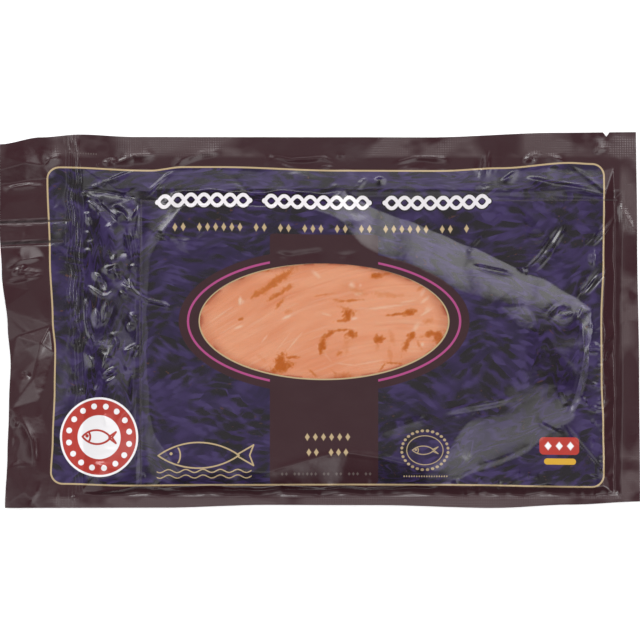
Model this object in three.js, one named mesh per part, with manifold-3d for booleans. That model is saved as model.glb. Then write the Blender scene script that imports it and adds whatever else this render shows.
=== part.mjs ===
// A vacuum pack of sliced smoked salmon, lying on its back with the printed front up.
// Two plastic films are welded together round their edges. The air is drawn out, so the
// front film is pulled down tight over the slices and the stiff card that they lie on, and
// wrinkles where there is too much of it. A clear oval window shows the top slice.
//
// Millimetres. +X runs along the pack, +Y to its top edge and +Z up out of the front.
// The origin is on the table, under the middle of the pack.

import * as THREE from "three";
import { mergeVertices } from "three/addons/utils/BufferGeometryUtils.js";
import Module from "manifold-3d";

const wasm = await Module();
wasm.setup();

// ---- Driving dimensions --------------------------------------------------------------

const packLength = 230;
const packWidth = 135;
const weldThickness = 0.5;

// The edges of the pouch bow a little: [place along the edge, distance from the middle].
const leftEdge = [
  [-68, 113.1], [-48, 112.2], [-28, 111.6], [-14, 111.1], [0, 112.1], [20, 114.2], [36, 115], [68, 115],
];
const rightEdge = [[-68, 115], [-20, 114.6], [30, 113.9], [68, 113.5]];
const bottomEdge = [[-115, 67.5], [-58, 67.4], [-20, 66.4], [20, 66.5], [62, 67.5], [90, 66.3], [115, 65.2]];
const topEdge = [[-115, 63.1], [-100, 65.6], [-86, 66.6], [-66, 65.7], [40, 65.6], [86, 67.2], [115, 67.5]];

// The card under the slices presses the back film flat on the table. Past its edges the film
// rises to the rim, over these widths.
const card = { left: -63.6, right: 105.3, bottom: -60.4, top: 43.1 };
const backTuck = { left: 17, right: 4, bottom: 4, top: 4 };

// The front film leaves the weld along this foot, and climbs to the card's level over these widths.
const foot = { left: -85, right: 105.7, bottom: -62.5, top: 54 };
const footClimb = { left: 19, right: 4, bottom: 3, top: 10.5 };
const cardLift = 2.6;

// The line along which the front film comes down off the slices, and how long its slope is along
// the top and the bottom: [place along the pack, length]. Its corners are rounded, and at both
// ends of the pack the one length passes into the other over this far from the middle.
const slicesFoot = [
  [-85, 46.5], [8, 46], [20, 39.5], [53.5, 26.6], [90, 9], [98, 4], [96.5, -20], [91, -35], [79, -44.2],
  [57.5, -52.1], [48.5, -57.5], [40, -60.5], [-28, -61], [-85, -61.5],
];
const slicesLift = 3.5;
const topSlopeRuns = [[-64, 24], [-48, 5.5], [-10, 5.5], [30, 14]];
const bottomSlopeRuns = [[-64, 24], [-48, 6], [-18, 6.5], [10, 12.5], [40, 7], [62, 18]];
const slopesPass = 12;
const cornerSharpness = 5;

// The clear oval window in the printed front.
const windowOval = { x: 1.4, y: -0.4, halfLength: 44.4, halfWidth: 20.6, sides: 72 };
const windowFloor = 0.7;
const clearance = 0.3;

// The welded rim leaves the back of the pack at this height and waves up and down, and
// stays clear of the table even where it dips, so that the pack stands on its card alone.
const rimHeight = 1.1;
const rimWave = 0.45;
const rimReach = 16;
const rimLowest = 0.35;

// The weld bars press ribs into the end that is closed last.
const weldRibs = { places: [-89.9, -88.2, -86.5], height: 0.55, halfWidth: 0.85, fadesBelow: -4, fade: 9 };

// A tear notch in the top edge.
const notch = { x: 102.8, halfWidth: 1.15, depth: 1.6 };

// Folds in the film: [x1, y1, x2, y2, height, half width]. A valley has a negative height.
const folds = [
  // The loose flap at the left end.
  [-118, 36.0, -87, 36.6, -0.9, 2.6],
  [-118, 28.2, -87, 29.0, -0.9, 2.6],
  [-118, 52.8, -104, 56.4, 1.1, 4.0],
  [-105, 56.0, -91, 58.8, 0.9, 3.6],
  [-113, 4.0, -99.6, -8.4, 1.5, 4.2],
  [-112, -10.6, -99.6, -8.6, -1.0, 3.2],
  [-99.9, -8.8, -103.5, -22, 1.2, 4.4],
  [-113, -30, -95, -41, 0.8, 4.0],
  // Where both films lie together between the end weld and the card.
  [-86, 42.2, -76, 37.2, 0.9, 2.0],
  [-86, 47.8, -64, 43.8, -0.6, 3.0],
  [-64.3, 43.8, -68.5, 35, 1.3, 3.6],
  [-85, 38.6, -80, 31.4, 0.9, 1.6],
  [-86, 12.2, -78.4, 9.3, 1.1, 1.8],
  [-78.4, 10.0, -77.6, 1.2, 1.3, 1.8],
  [-84.4, 6.4, -81.2, -8.4, 1.0, 1.6],
  [-81, 18.5, -63.6, 8.2, 1.2, 4.0],
  [-66, -2, -71, -14, 0.9, 3.2],
  [-79.4, -21.5, -72, -16.4, 0.9, 1.8],
  // The top, where bubbles lift the films off the weld.
  [-79, 56.5, -58, 59.2, 0.9, 2.2],
  [-64, 43.8, -47.5, 55, 0.8, 3.0],
  [-33, 54.5, -19, 37.5, 0.7, 3.4],
  [-19, 57.4, 6, 57.6, 0.8, 2.2],
  [23, 55.2, 44, 58.2, 0.9, 2.6],
  [44, 58.0, 57, 46.5, 0.8, 3.0],
  [86, 56, 109, 40, 0.7, 3.0],
  // Across the stack and down its right slope.
  [-62, 31.5, -43.5, 28.3, 0.5, 2.4],
  [-45, 27.5, -38.6, 36, 0.6, 1.8],
  [-64, 8.6, -47, 0.5, 0.6, 2.2],
  [19, 41, 55, 28.5, 0.7, 4.2],
  [55, 28.5, 92, 7.5, 0.8, 4.6],
  [70, 16, 83.5, 35.4, 0.9, 1.6],
  [94, 8, 107, 21, 1.2, 1.8],
  [92.8, 2, 81, -3, 0.8, 2.2],
  [86, -37, 104, -58.5, 0.8, 2.0],
  [50, -55, 78, -44.6, 0.8, 2.2],
];

// A fold dies away over this share of its length at each end.
const foldTaper = 0.28;

// Crinkles too small and many to place one by one, drawn from a seeded rule in each patch:
// between the end weld and the card, beside the card at the right, and below it.
const crinkleSeed = 7;
const crinklePatches = [
  {
    count: 16, x: [-83, -66], y: [-58, 50], tilt: 0.9, spread: 1.2,
    length: [6, 15], height: [0.3, 0.9], halfWidth: [1.4, 2.6],
  },
  {
    count: 44, x: [98, 106], y: [-57, 40], tilt: 0, spread: 0.4,
    length: [5, 9], height: [0.25, 0.6], halfWidth: [1.0, 1.6],
  },
  {
    count: 18, x: [-60, 100], y: [-62, -57], tilt: 1.57, spread: 0.5,
    length: [4, 7], height: [0.25, 0.6], halfWidth: [1.2, 2.0],
  },
];
const valleyShare = 0.6;

// The flakes of the top slice run up to the right and level out there: y = rise * x - bend * x * x.
const grain = { pitch: 6.5, depth: 0.35, rise: 0.25, bend: 0.0035, grooveShare: 0.45 };

// How closely the faces follow the surfaces: [from, to, step], along X and then along Y.
const columnZones = [
  [-115, -92, 2.3], [-92, -84.6, 0.74], [-84.6, -60, 1.64], [-60, 96, 4.6], [96, 110, 1.4], [110, 115, 2.5],
];
const rowZones = [[-67.5, -63, 1.5], [-63, -54, 1.3], [-54, 40, 3.4], [40, 60, 2.0], [60, 67.5, 2.5]];
const sliceStep = 1.9;

// Cutting bodies reach past the pack by this much, above and below it.
const farBelow = -8;
const farAbove = 40;

const colours = { film: 0x48383b, salmon: 0xdd9673 };

// ---- Small helpers -------------------------------------------------------------------

const clamp01 = (t) => Math.min(1, Math.max(0, t));
const mix = (a, b, t) => a + (b - a) * t;
const ease = (t) => clamp01(t) * clamp01(t) * (3 - 2 * clamp01(t));

function along(points, place) {
  // A value read off a polyline of [place, value] pairs, eased between its points.
  let i = 0;
  while (i < points.length - 2 && place > points[i + 1][0]) i += 1;
  const [p0, v0] = points[i];
  const [p1, v1] = points[i + 1];
  return mix(v0, v1, ease((place - p0) / (p1 - p0)));
}

function seededDraws(seed) {
  let state = seed;
  return (low, high) => {
    state = (state * 1664525 + 1013904223) % 4294967296;
    return mix(low, high, state / 4294967296);
  };
}

function segmentPlace(x, y, x1, y1, x2, y2) {
  // How far along a segment a point lies, from 0 to 1, and its distance from the segment.
  const dx = x2 - x1;
  const dy = y2 - y1;
  const share = clamp01(((x - x1) * dx + (y - y1) * dy) / (dx * dx + dy * dy));
  return { share, distance: Math.hypot(x - x1 - share * dx, y - y1 - share * dy) };
}

function steps(zones) {
  // The lines between faces, from zones that each have their own step.
  const lines = [zones[0][0]];
  for (const [from, to, step] of zones) {
    const count = Math.round((to - from) / step);
    for (let i = 1; i <= count; i += 1) lines.push(mix(from, to, i / count));
  }
  return lines;
}

// ---- The film's surfaces -------------------------------------------------------------

function drawCrinkles() {
  const draw = seededDraws(crinkleSeed);
  const made = [];
  for (const patch of crinklePatches) {
    for (let i = 0; i < patch.count; i += 1) {
      const x = draw(...patch.x);
      const y = draw(...patch.y);
      const turn = patch.tilt + draw(-patch.spread, patch.spread);
      const reach = draw(...patch.length) / 2;
      const height = draw(...patch.height) * (i % 2 ? 1 : -valleyShare);
      const dx = reach * Math.cos(turn);
      const dy = reach * Math.sin(turn);
      made.push([x - dx, y - dy, x + dx, y + dy, height, draw(...patch.halfWidth)]);
    }
  }
  return made;
}

const allFolds = [...folds, ...drawCrinkles()];

function foldRelief(x, y) {
  // Each fold is a straight ridge or valley that dies away towards its two ends.
  let z = 0;
  for (const [x1, y1, x2, y2, height, halfWidth] of allFolds) {
    const { share, distance } = segmentPlace(x, y, x1, y1, x2, y2);
    const endTaper = Math.min(1, share / foldTaper, (1 - share) / foldTaper);
    z += height * endTaper * Math.max(0, 1 - distance / halfWidth);
  }
  return z;
}

function weldRibRelief(x, y) {
  const strength = 1 - ease((weldRibs.fadesBelow - y) / weldRibs.fade);
  const rib = (place) => Math.max(0, 1 - Math.abs(x - place) / weldRibs.halfWidth);
  return weldRibs.height * strength * weldRibs.places.reduce((z, place) => z + rib(place), 0);
}

function insideBox(box, x, y, runs = { left: 1, right: 1, bottom: 1, top: 1 }) {
  // How far inside the nearest side, counted in the run given for that side. It is negative outside.
  return Math.min(
    (x - box.left) / runs.left,
    (box.right - x) / runs.right,
    (y - box.bottom) / runs.bottom,
    (box.top - y) / runs.top,
  );
}

function insideSlices(x, y) {
  // The distance in from the line where the film comes off the slices, and 0 outside it.
  let closeness = 0;
  let inside = false;
  slicesFoot.forEach(([x1, y1], i) => {
    const [x2, y2] = slicesFoot[(i + 1) % slicesFoot.length];
    closeness += Math.max(segmentPlace(x, y, x1, y1, x2, y2).distance, 0.01) ** -cornerSharpness;
    const crosses = (y1 > y) !== (y2 > y) && x < x1 + ((x2 - x1) * (y - y1)) / (y2 - y1);
    if (crosses) inside = !inside;
  });
  return inside ? closeness ** (-1 / cornerSharpness) : 0;
}

function backSurface(x, y) {
  // Flat on the table under the card. The welded rim round it waves more the further out it is.
  const reach = ease(-insideBox(foot, x, y) / rimReach);
  const wave = Math.sin(x / 11.5 + 0.8) + 0.6 * Math.sin(x / 5.9 - y / 9)
    + 0.9 * Math.sin(y / 10.5 + x / 60 + 2.1);
  const rim = Math.max(rimLowest, rimHeight + rimWave * reach * wave);
  return rim * (1 - ease(1 + insideBox(card, x, y, backTuck)));
}

function frontSurface(x, y) {
  // The back film, the weld, the climb to the card's level, the slices and the folds, in turn.
  const onCard = clamp01(insideBox(foot, x, y, footClimb));
  const towardsTop = ease((y + slopesPass) / (2 * slopesPass));
  const slopeRun = mix(along(bottomSlopeRuns, x), along(topSlopeRuns, x), towardsTop);
  const onSlices = Math.sin(Math.min(1, insideSlices(x, y) / slopeRun) * Math.PI / 2);
  const height = weldThickness + cardLift * onCard + slicesLift * onSlices;
  const deepestValley = -height / 2;
  const relief = foldRelief(x, y) + weldRibRelief(x, y);
  return backSurface(x, y) + height + Math.max(relief, deepestValley);
}

// ---- Solids --------------------------------------------------------------------------

function pouchPoint(x, y) {
  // Stretches a point of the plain rectangle so that its sides take the pouch's true edges.
  const across = (x + packLength / 2) / packLength;
  const up = (y + packWidth / 2) / packWidth;
  return [
    mix(-along(leftEdge, y), along(rightEdge, y), across),
    mix(-along(bottomEdge, x), along(topEdge, x), up),
  ];
}

function sheetSolid(columns, rows, place, surface, flatZ) {
  // The solid between a surface over a grid and a flat plane, above or below it.
  const points = [];
  const faces = [];
  const at = (i, j) => j * columns.length + i;
  for (const row of rows) {
    for (const column of columns) {
      const [x, y] = place(column, row);
      points.push([x, y, surface(x, y)]);
    }
  }
  for (let j = 0; j < rows.length - 1; j += 1) {
    for (let i = 0; i < columns.length - 1; i += 1) {
      const [a, b, c, d] = [at(i, j), at(i + 1, j), at(i + 1, j + 1), at(i, j + 1)];
      if ((i + j) % 2) faces.push([a, b, c], [a, c, d]);
      else faces.push([a, b, d], [b, c, d]);
    }
  }
  const rim = [];
  for (let i = 0; i < columns.length - 1; i += 1) rim.push(at(i, 0));
  for (let j = 0; j < rows.length - 1; j += 1) rim.push(at(columns.length - 1, j));
  for (let i = columns.length - 1; i > 0; i -= 1) rim.push(at(i, rows.length - 1));
  for (let j = rows.length - 1; j > 0; j -= 1) rim.push(at(0, j));
  const below = rim.map((n) => points.push([points[n][0], points[n][1], flatZ]) - 1);
  const middle = points.push([0, 0, flatZ]) - 1;
  rim.forEach((n, k) => {
    const next = (k + 1) % rim.length;
    faces.push([n, below[k], below[next]], [n, below[next], rim[next]], [below[next], below[k], middle]);
  });
  const turned = flatZ > points[0][2] ? faces.map(([a, b, c]) => [a, c, b]) : faces;
  return toManifold(points, turned);
}

function toManifold(points, faces) {
  return new wasm.Manifold(new wasm.Mesh({
    numProp: 3,
    vertProperties: new Float32Array(points.flat()),
    triVerts: new Uint32Array(faces.flat()),
  }));
}

function prism(outline, low, high) {
  // An upright solid with the given outline, from one height to another.
  const shape = new THREE.Shape(outline.map(([x, y]) => new THREE.Vector2(x, y)));
  let geometry = new THREE.ExtrudeGeometry(shape, { depth: high - low, bevelEnabled: false });
  geometry.translate(0, 0, low);
  geometry.deleteAttribute("normal");
  geometry.deleteAttribute("uv");
  geometry = mergeVertices(geometry, 1e-4);
  return new wasm.Manifold(new wasm.Mesh({
    numProp: 3,
    vertProperties: new Float32Array(geometry.attributes.position.array),
    triVerts: new Uint32Array(geometry.index.array),
  }));
}

function ovalOutline(shrink) {
  const points = [];
  for (let i = 0; i < windowOval.sides; i += 1) {
    const turn = (2 * Math.PI * i) / windowOval.sides;
    points.push([
      windowOval.x + (windowOval.halfLength - shrink) * Math.cos(turn),
      windowOval.y + (windowOval.halfWidth - shrink) * Math.sin(turn),
    ]);
  }
  return points;
}

function pouchSolid() {
  // The welded pouch round the card and the slices, with the window's well left open.
  const columns = steps(columnZones);
  const rows = steps(rowZones);
  const coarse = (lines) => lines.filter((_, i) => i % 2 === 1);
  const wider = (lines) => [lines[0] - 4, ...coarse(lines), lines[lines.length - 1] + 4];
  const underFront = sheetSolid(columns, rows, pouchPoint, frontSurface, farBelow);
  const aboveBack = sheetSolid(wider(columns), wider(rows), (x, y) => [x, y], backSurface, farAbove);
  const windowWell = prism(ovalOutline(0), windowFloor, farAbove);
  const top = along(topEdge, notch.x);
  const tear = prism([
    [notch.x, top - notch.depth],
    [notch.x + notch.halfWidth, top + 1],
    [notch.x - notch.halfWidth, top + 1],
  ], 2 * farBelow, farAbove);
  return underFront.intersect(aboveBack).subtract(windowWell).subtract(tear);
}

function sliceSurface(x, y) {
  // The top slice, pressed flat under the film, with the shallow grooves between its flakes.
  const row = (y - grain.rise * x + grain.bend * x * x) / grain.pitch;
  const fromGroove = Math.abs(row - Math.round(row)) * 2;
  return frontSurface(x, y) - clearance - grain.depth * (1 - ease(fromGroove / grain.grooveShare));
}

function salmonSolid() {
  // The slices that show in the window, down to the card.
  const reach = [windowOval.halfLength + 2, windowOval.halfWidth + 2];
  const columns = steps([[windowOval.x - reach[0], windowOval.x + reach[0], sliceStep]]);
  const rows = steps([[windowOval.y - reach[1], windowOval.y + reach[1], sliceStep]]);
  const block = sheetSolid(columns, rows, (x, y) => [x, y], sliceSurface, windowFloor + clearance);
  return block.intersect(prism(ovalOutline(clearance), 0, farAbove));
}

function namedMesh(name, solid, material) {
  const { numProp, vertProperties, triVerts } = solid.getMesh();
  const positions = new Float32Array((vertProperties.length / numProp) * 3);
  for (let i = 0; i < positions.length / 3; i += 1) {
    positions.set(vertProperties.slice(i * numProp, i * numProp + 3), i * 3);
  }
  const geometry = new THREE.BufferGeometry();
  geometry.setAttribute("position", new THREE.BufferAttribute(positions, 3));
  geometry.setIndex(new THREE.BufferAttribute(new Uint32Array(triVerts), 1));
  geometry.computeVertexNormals();
  const mesh = new THREE.Mesh(geometry, material);
  mesh.name = name;
  return mesh;
}

// ---- The pack ------------------------------------------------------------------------

const film = new THREE.MeshStandardMaterial({ color: colours.film, roughness: 0.35, metalness: 0 });
const flesh = new THREE.MeshStandardMaterial({ color: colours.salmon, roughness: 0.45, metalness: 0 });

const pack = new THREE.Group();
pack.add(namedMesh("pouch", pouchSolid(), film));
pack.add(namedMesh("salmon", salmonSolid(), flesh));

export default pack;
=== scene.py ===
# A vacuum pack of sliced smoked salmon, lying on its back with the printed front up.
# Shapes are worked out in millimetres, as the pack is drawn, and turned to metres at the end.

import functools
import math

import bmesh
import bpy
import numpy as np
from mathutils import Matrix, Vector
from mathutils.geometry import delaunay_2d_cdt


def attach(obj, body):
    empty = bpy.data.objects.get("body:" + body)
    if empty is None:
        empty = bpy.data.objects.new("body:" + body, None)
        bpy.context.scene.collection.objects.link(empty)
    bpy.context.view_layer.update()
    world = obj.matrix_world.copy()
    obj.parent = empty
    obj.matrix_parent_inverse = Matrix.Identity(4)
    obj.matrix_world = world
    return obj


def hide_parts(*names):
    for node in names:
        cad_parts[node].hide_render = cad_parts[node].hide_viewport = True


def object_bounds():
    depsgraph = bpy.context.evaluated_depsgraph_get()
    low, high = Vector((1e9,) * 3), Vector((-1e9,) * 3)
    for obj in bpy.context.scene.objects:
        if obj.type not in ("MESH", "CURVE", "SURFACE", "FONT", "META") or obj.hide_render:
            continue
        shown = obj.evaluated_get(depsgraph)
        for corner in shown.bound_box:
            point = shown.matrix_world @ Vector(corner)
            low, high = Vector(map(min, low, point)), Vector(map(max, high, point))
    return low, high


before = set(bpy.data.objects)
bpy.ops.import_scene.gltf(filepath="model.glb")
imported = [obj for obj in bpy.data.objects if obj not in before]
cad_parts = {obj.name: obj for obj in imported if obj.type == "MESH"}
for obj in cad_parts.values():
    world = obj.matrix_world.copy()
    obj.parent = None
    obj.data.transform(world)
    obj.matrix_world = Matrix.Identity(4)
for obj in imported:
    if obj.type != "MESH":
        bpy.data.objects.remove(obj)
cad_low, cad_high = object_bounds()


# ---- Camera --------------------------------------------------------------------------
# It hangs straight over the pack, whose whole length just fills the picture's width.

camera_height = 1.6
camera_data = bpy.data.cameras.new("overhead_camera")
camera_data.sensor_fit = "HORIZONTAL"
camera_data.lens = camera_data.sensor_width * camera_height / (cad_high.x - cad_low.x)
camera = bpy.data.objects.new("overhead_camera", camera_data)
camera.location = (0, 0, camera_height)
bpy.context.collection.objects.link(camera)
bpy.context.scene.camera = camera


# ---- Front film: its form ------------------------------------------------------------
# A printed laminate, welded to the back film round the rim. The vacuum pulls it down over
# the card and the slices. It comes steeply off them at the left end and in one long slope
# where the slices thin out at the right, and wrinkles wherever there is more film than room.

pack_length = 230
pack_width = 135
weld_thickness = 0.5
left_edge = [
    (-68, 113.1), (-48, 112.2), (-28, 111.6), (-14, 111.1), (0, 112.1), (20, 114.2), (36, 115), (68, 115),
]
right_edge = [(-68, 115), (-20, 114.6), (30, 113.9), (68, 113.5)]
bottom_edge = [(-115, 67.5), (-58, 67.4), (-20, 66.4), (20, 66.5), (62, 67.5), (90, 66.3), (115, 65.2)]
top_edge = [(-115, 63.1), (-100, 65.6), (-86, 66.6), (-66, 65.7), (40, 65.6), (86, 67.2), (115, 67.5)]

card = {"left": -63.6, "right": 105.3, "bottom": -60.4, "top": 43.1}
back_tuck = {"left": 17, "right": 4, "bottom": 4, "top": 4}
foot = {"left": -85, "right": 105.7, "bottom": -62.5, "top": 54}
foot_climb = {"left": 19, "right": 4, "bottom": 3, "top": 10.5}
card_lift = 2.6
slices_foot = [
    (-85, 46.5), (8, 46), (20, 39.5), (53.5, 26.6), (90, 9), (98, 4), (96.5, -20), (91, -35), (79, -44.2),
    (57.5, -52.1), (48.5, -57.5), (40, -60.5), (-28, -61), (-85, -61.5),
]
slices_lift = 3.5
corner_sharpness = 5.0
top_slope_runs = [(-64, 24), (-48, 5.5), (-10, 5.5), (30, 14)]
bottom_slope_runs = [(-64, 24), (-48, 6), (-18, 6.5), (10, 12.5), (40, 7), (62, 18)]
slopes_pass = 12
slope_roundness = 0.5
rim_height = 1.1
rim_wave = 0.45
rim_reach = dict.fromkeys(card, 16)
rim_lowest = 0.35
# The rim's waves: each one's share, its lengths along X and Y, and its phase.
rim_waves = [(1, 11.5, math.inf, 0.8), (0.6, 5.9, -9, 0), (0.9, 60, 10.5, 2.1)]


def ease(t):
    t = np.clip(t, 0, 1)
    return t * t * (3 - 2 * t)


def along(points, place):
    """A value read off a line of (place, value) points, eased between them."""
    places, values = np.array(points, float).T
    i = np.clip(np.searchsorted(places, place) - 1, 0, len(points) - 2)
    share = ease((place - places[i]) / (places[i + 1] - places[i]))
    return values[i] + (values[i + 1] - values[i]) * share


def segment_place(x, y, x1, y1, x2, y2):
    """How far along a segment each point lies, from 0 to 1, and its distance from the segment."""
    dx, dy = x2 - x1, y2 - y1
    share = np.clip(((x - x1) * dx + (y - y1) * dy) / (dx * dx + dy * dy), 0, 1)
    return share, np.hypot(x - x1 - share * dx, y - y1 - share * dy)


def share_inside(box, runs, x, y):
    """How far inside a box each point is, as a share of the run that each side is given."""
    across = np.minimum((x - box["left"]) / runs["left"], (box["right"] - x) / runs["right"])
    up = np.minimum((y - box["bottom"]) / runs["bottom"], (box["top"] - y) / runs["top"])
    return np.minimum(across, up)


def inside_slices(x, y):
    """The distance in from the line where the film comes off the slices, and 0 outside it.

    Its corners are rounded, more so further in.
    """
    closeness = np.zeros_like(x)
    inside = np.zeros(x.shape, bool)
    for (x1, y1), (x2, y2) in zip(slices_foot, slices_foot[1:] + slices_foot[:1]):
        closeness += np.maximum(segment_place(x, y, x1, y1, x2, y2)[1], 0.01) ** -corner_sharpness
        crosses = (y1 > y) != (y2 > y)
        inside ^= crosses & (x < x1 + (x2 - x1) * (y - y1) / (y2 - y1))
    return np.where(inside, closeness ** (-1 / corner_sharpness), 0)


def back_surface(x, y):
    """Flat on the table under the card; the welded rim round it waves more the further out it is."""
    reach = ease(-share_inside(foot, rim_reach, x, y))
    wave = sum(
        share * np.sin(x / along_x + y / along_y + phase) for share, along_x, along_y, phase in rim_waves
    )
    rim = np.maximum(rim_lowest, rim_height + rim_wave * reach * wave)
    return rim * (1 - ease(1 + share_inside(card, back_tuck, x, y)))


def drawn_height(x, y):
    """How far the front film stands over the back film before any fold. Its feet wander a little."""
    x = x + 0.3 * np.sin(y / 3.4 + 0.7 * np.sin(y / 9)) + 0.15 * np.sin(y / 1.7 + 1.2)
    y = y + 0.35 * np.sin(x / 3.9 + 0.9 * np.sin(x / 11) + 2) + 0.15 * np.sin(x / 1.9)
    towards_top = ease((y + slopes_pass) / (2 * slopes_pass))
    slope_run = along(bottom_slope_runs, x) * (1 - towards_top) + along(top_slope_runs, x) * towards_top
    climbed = np.minimum(1, inside_slices(x, y) / slope_run)
    on_slices = climbed + (np.sin(climbed * math.pi / 2) - climbed) * slope_roundness
    on_card = np.clip(share_inside(foot, foot_climb, x, y), 0, 1)
    return weld_thickness + card_lift * on_card + slices_lift * on_slices


# Folds follow the lines they have on the finished pack. Each is its steepness, negative for a
# valley, the width of its steep side, and the places it runs through.
flap_folds = [
    (-1.8, 0.8, (-120, 34.8), (-98.5, 35.6), (-89, 35.9)),
    (-1.9, 0.95, (-120, 27.0), (-104, 27.9), (-92.5, 28.2)),
    (0.7, 3.2, (-92.2, 59.2), (-96, 58.2), (-99.8, 55.6)),
    (0.7, 1.6, (-115, 48.2), (-111.4, 47.4), (-105, 48.5), (-98.5, 48.2)),
    (0.7, 2.4, (-98.5, 22.8), (-107, 21.4), (-113.6, 18.2)),
    (1.2, 1.4, (-110.7, 16.2), (-108.2, 18.3), (-105, 20)),
    (1.0, 1.0, (-110.7, 16.2), (-104.2, 17.6), (-98.8, 16.9)),
    (1.1, 0.9, (-114, 13.5), (-110, 14.4), (-105, 15.3), (-98.5, 16.2)),
    (0.4, 0.6, (-113, 3.6), (-107.8, -1.7), (-100.1, -8.4)),
    (0.4, 0.6, (-111.4, -10.6), (-105.7, -10.1), (-100.1, -8.6)),
    (-1.0, 1.2, (-107.8, -18.7), (-105.3, -19.6), (-103.4, -21.2)),
    (0.4, 0.7, (-104.2, -25), (-100, -24.3), (-95.6, -24.1)),
    (0.9, 1.2, (-111.4, -35.2), (-108.9, -36.3), (-110, -39.5)),
    (0.5, 1.6, (-112.1, -40.3), (-109.3, -43.1), (-110, -48.9)),
    (0.7, 1.4, (-112.1, -53.9), (-107.8, -51.4), (-102.8, -52.5)), (0.8, 0.9, (-92.8, -59.7), (-93.3, -67.9)),
    (0.6, 1.4, (-100.6, -57.5), (-102.1, -62.5), (-104.9, -67.2)),
    (0.5, 2.2, (-107.8, -35.9), (-102.8, -43.1), (-102.1, -53.9)),
]
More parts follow.
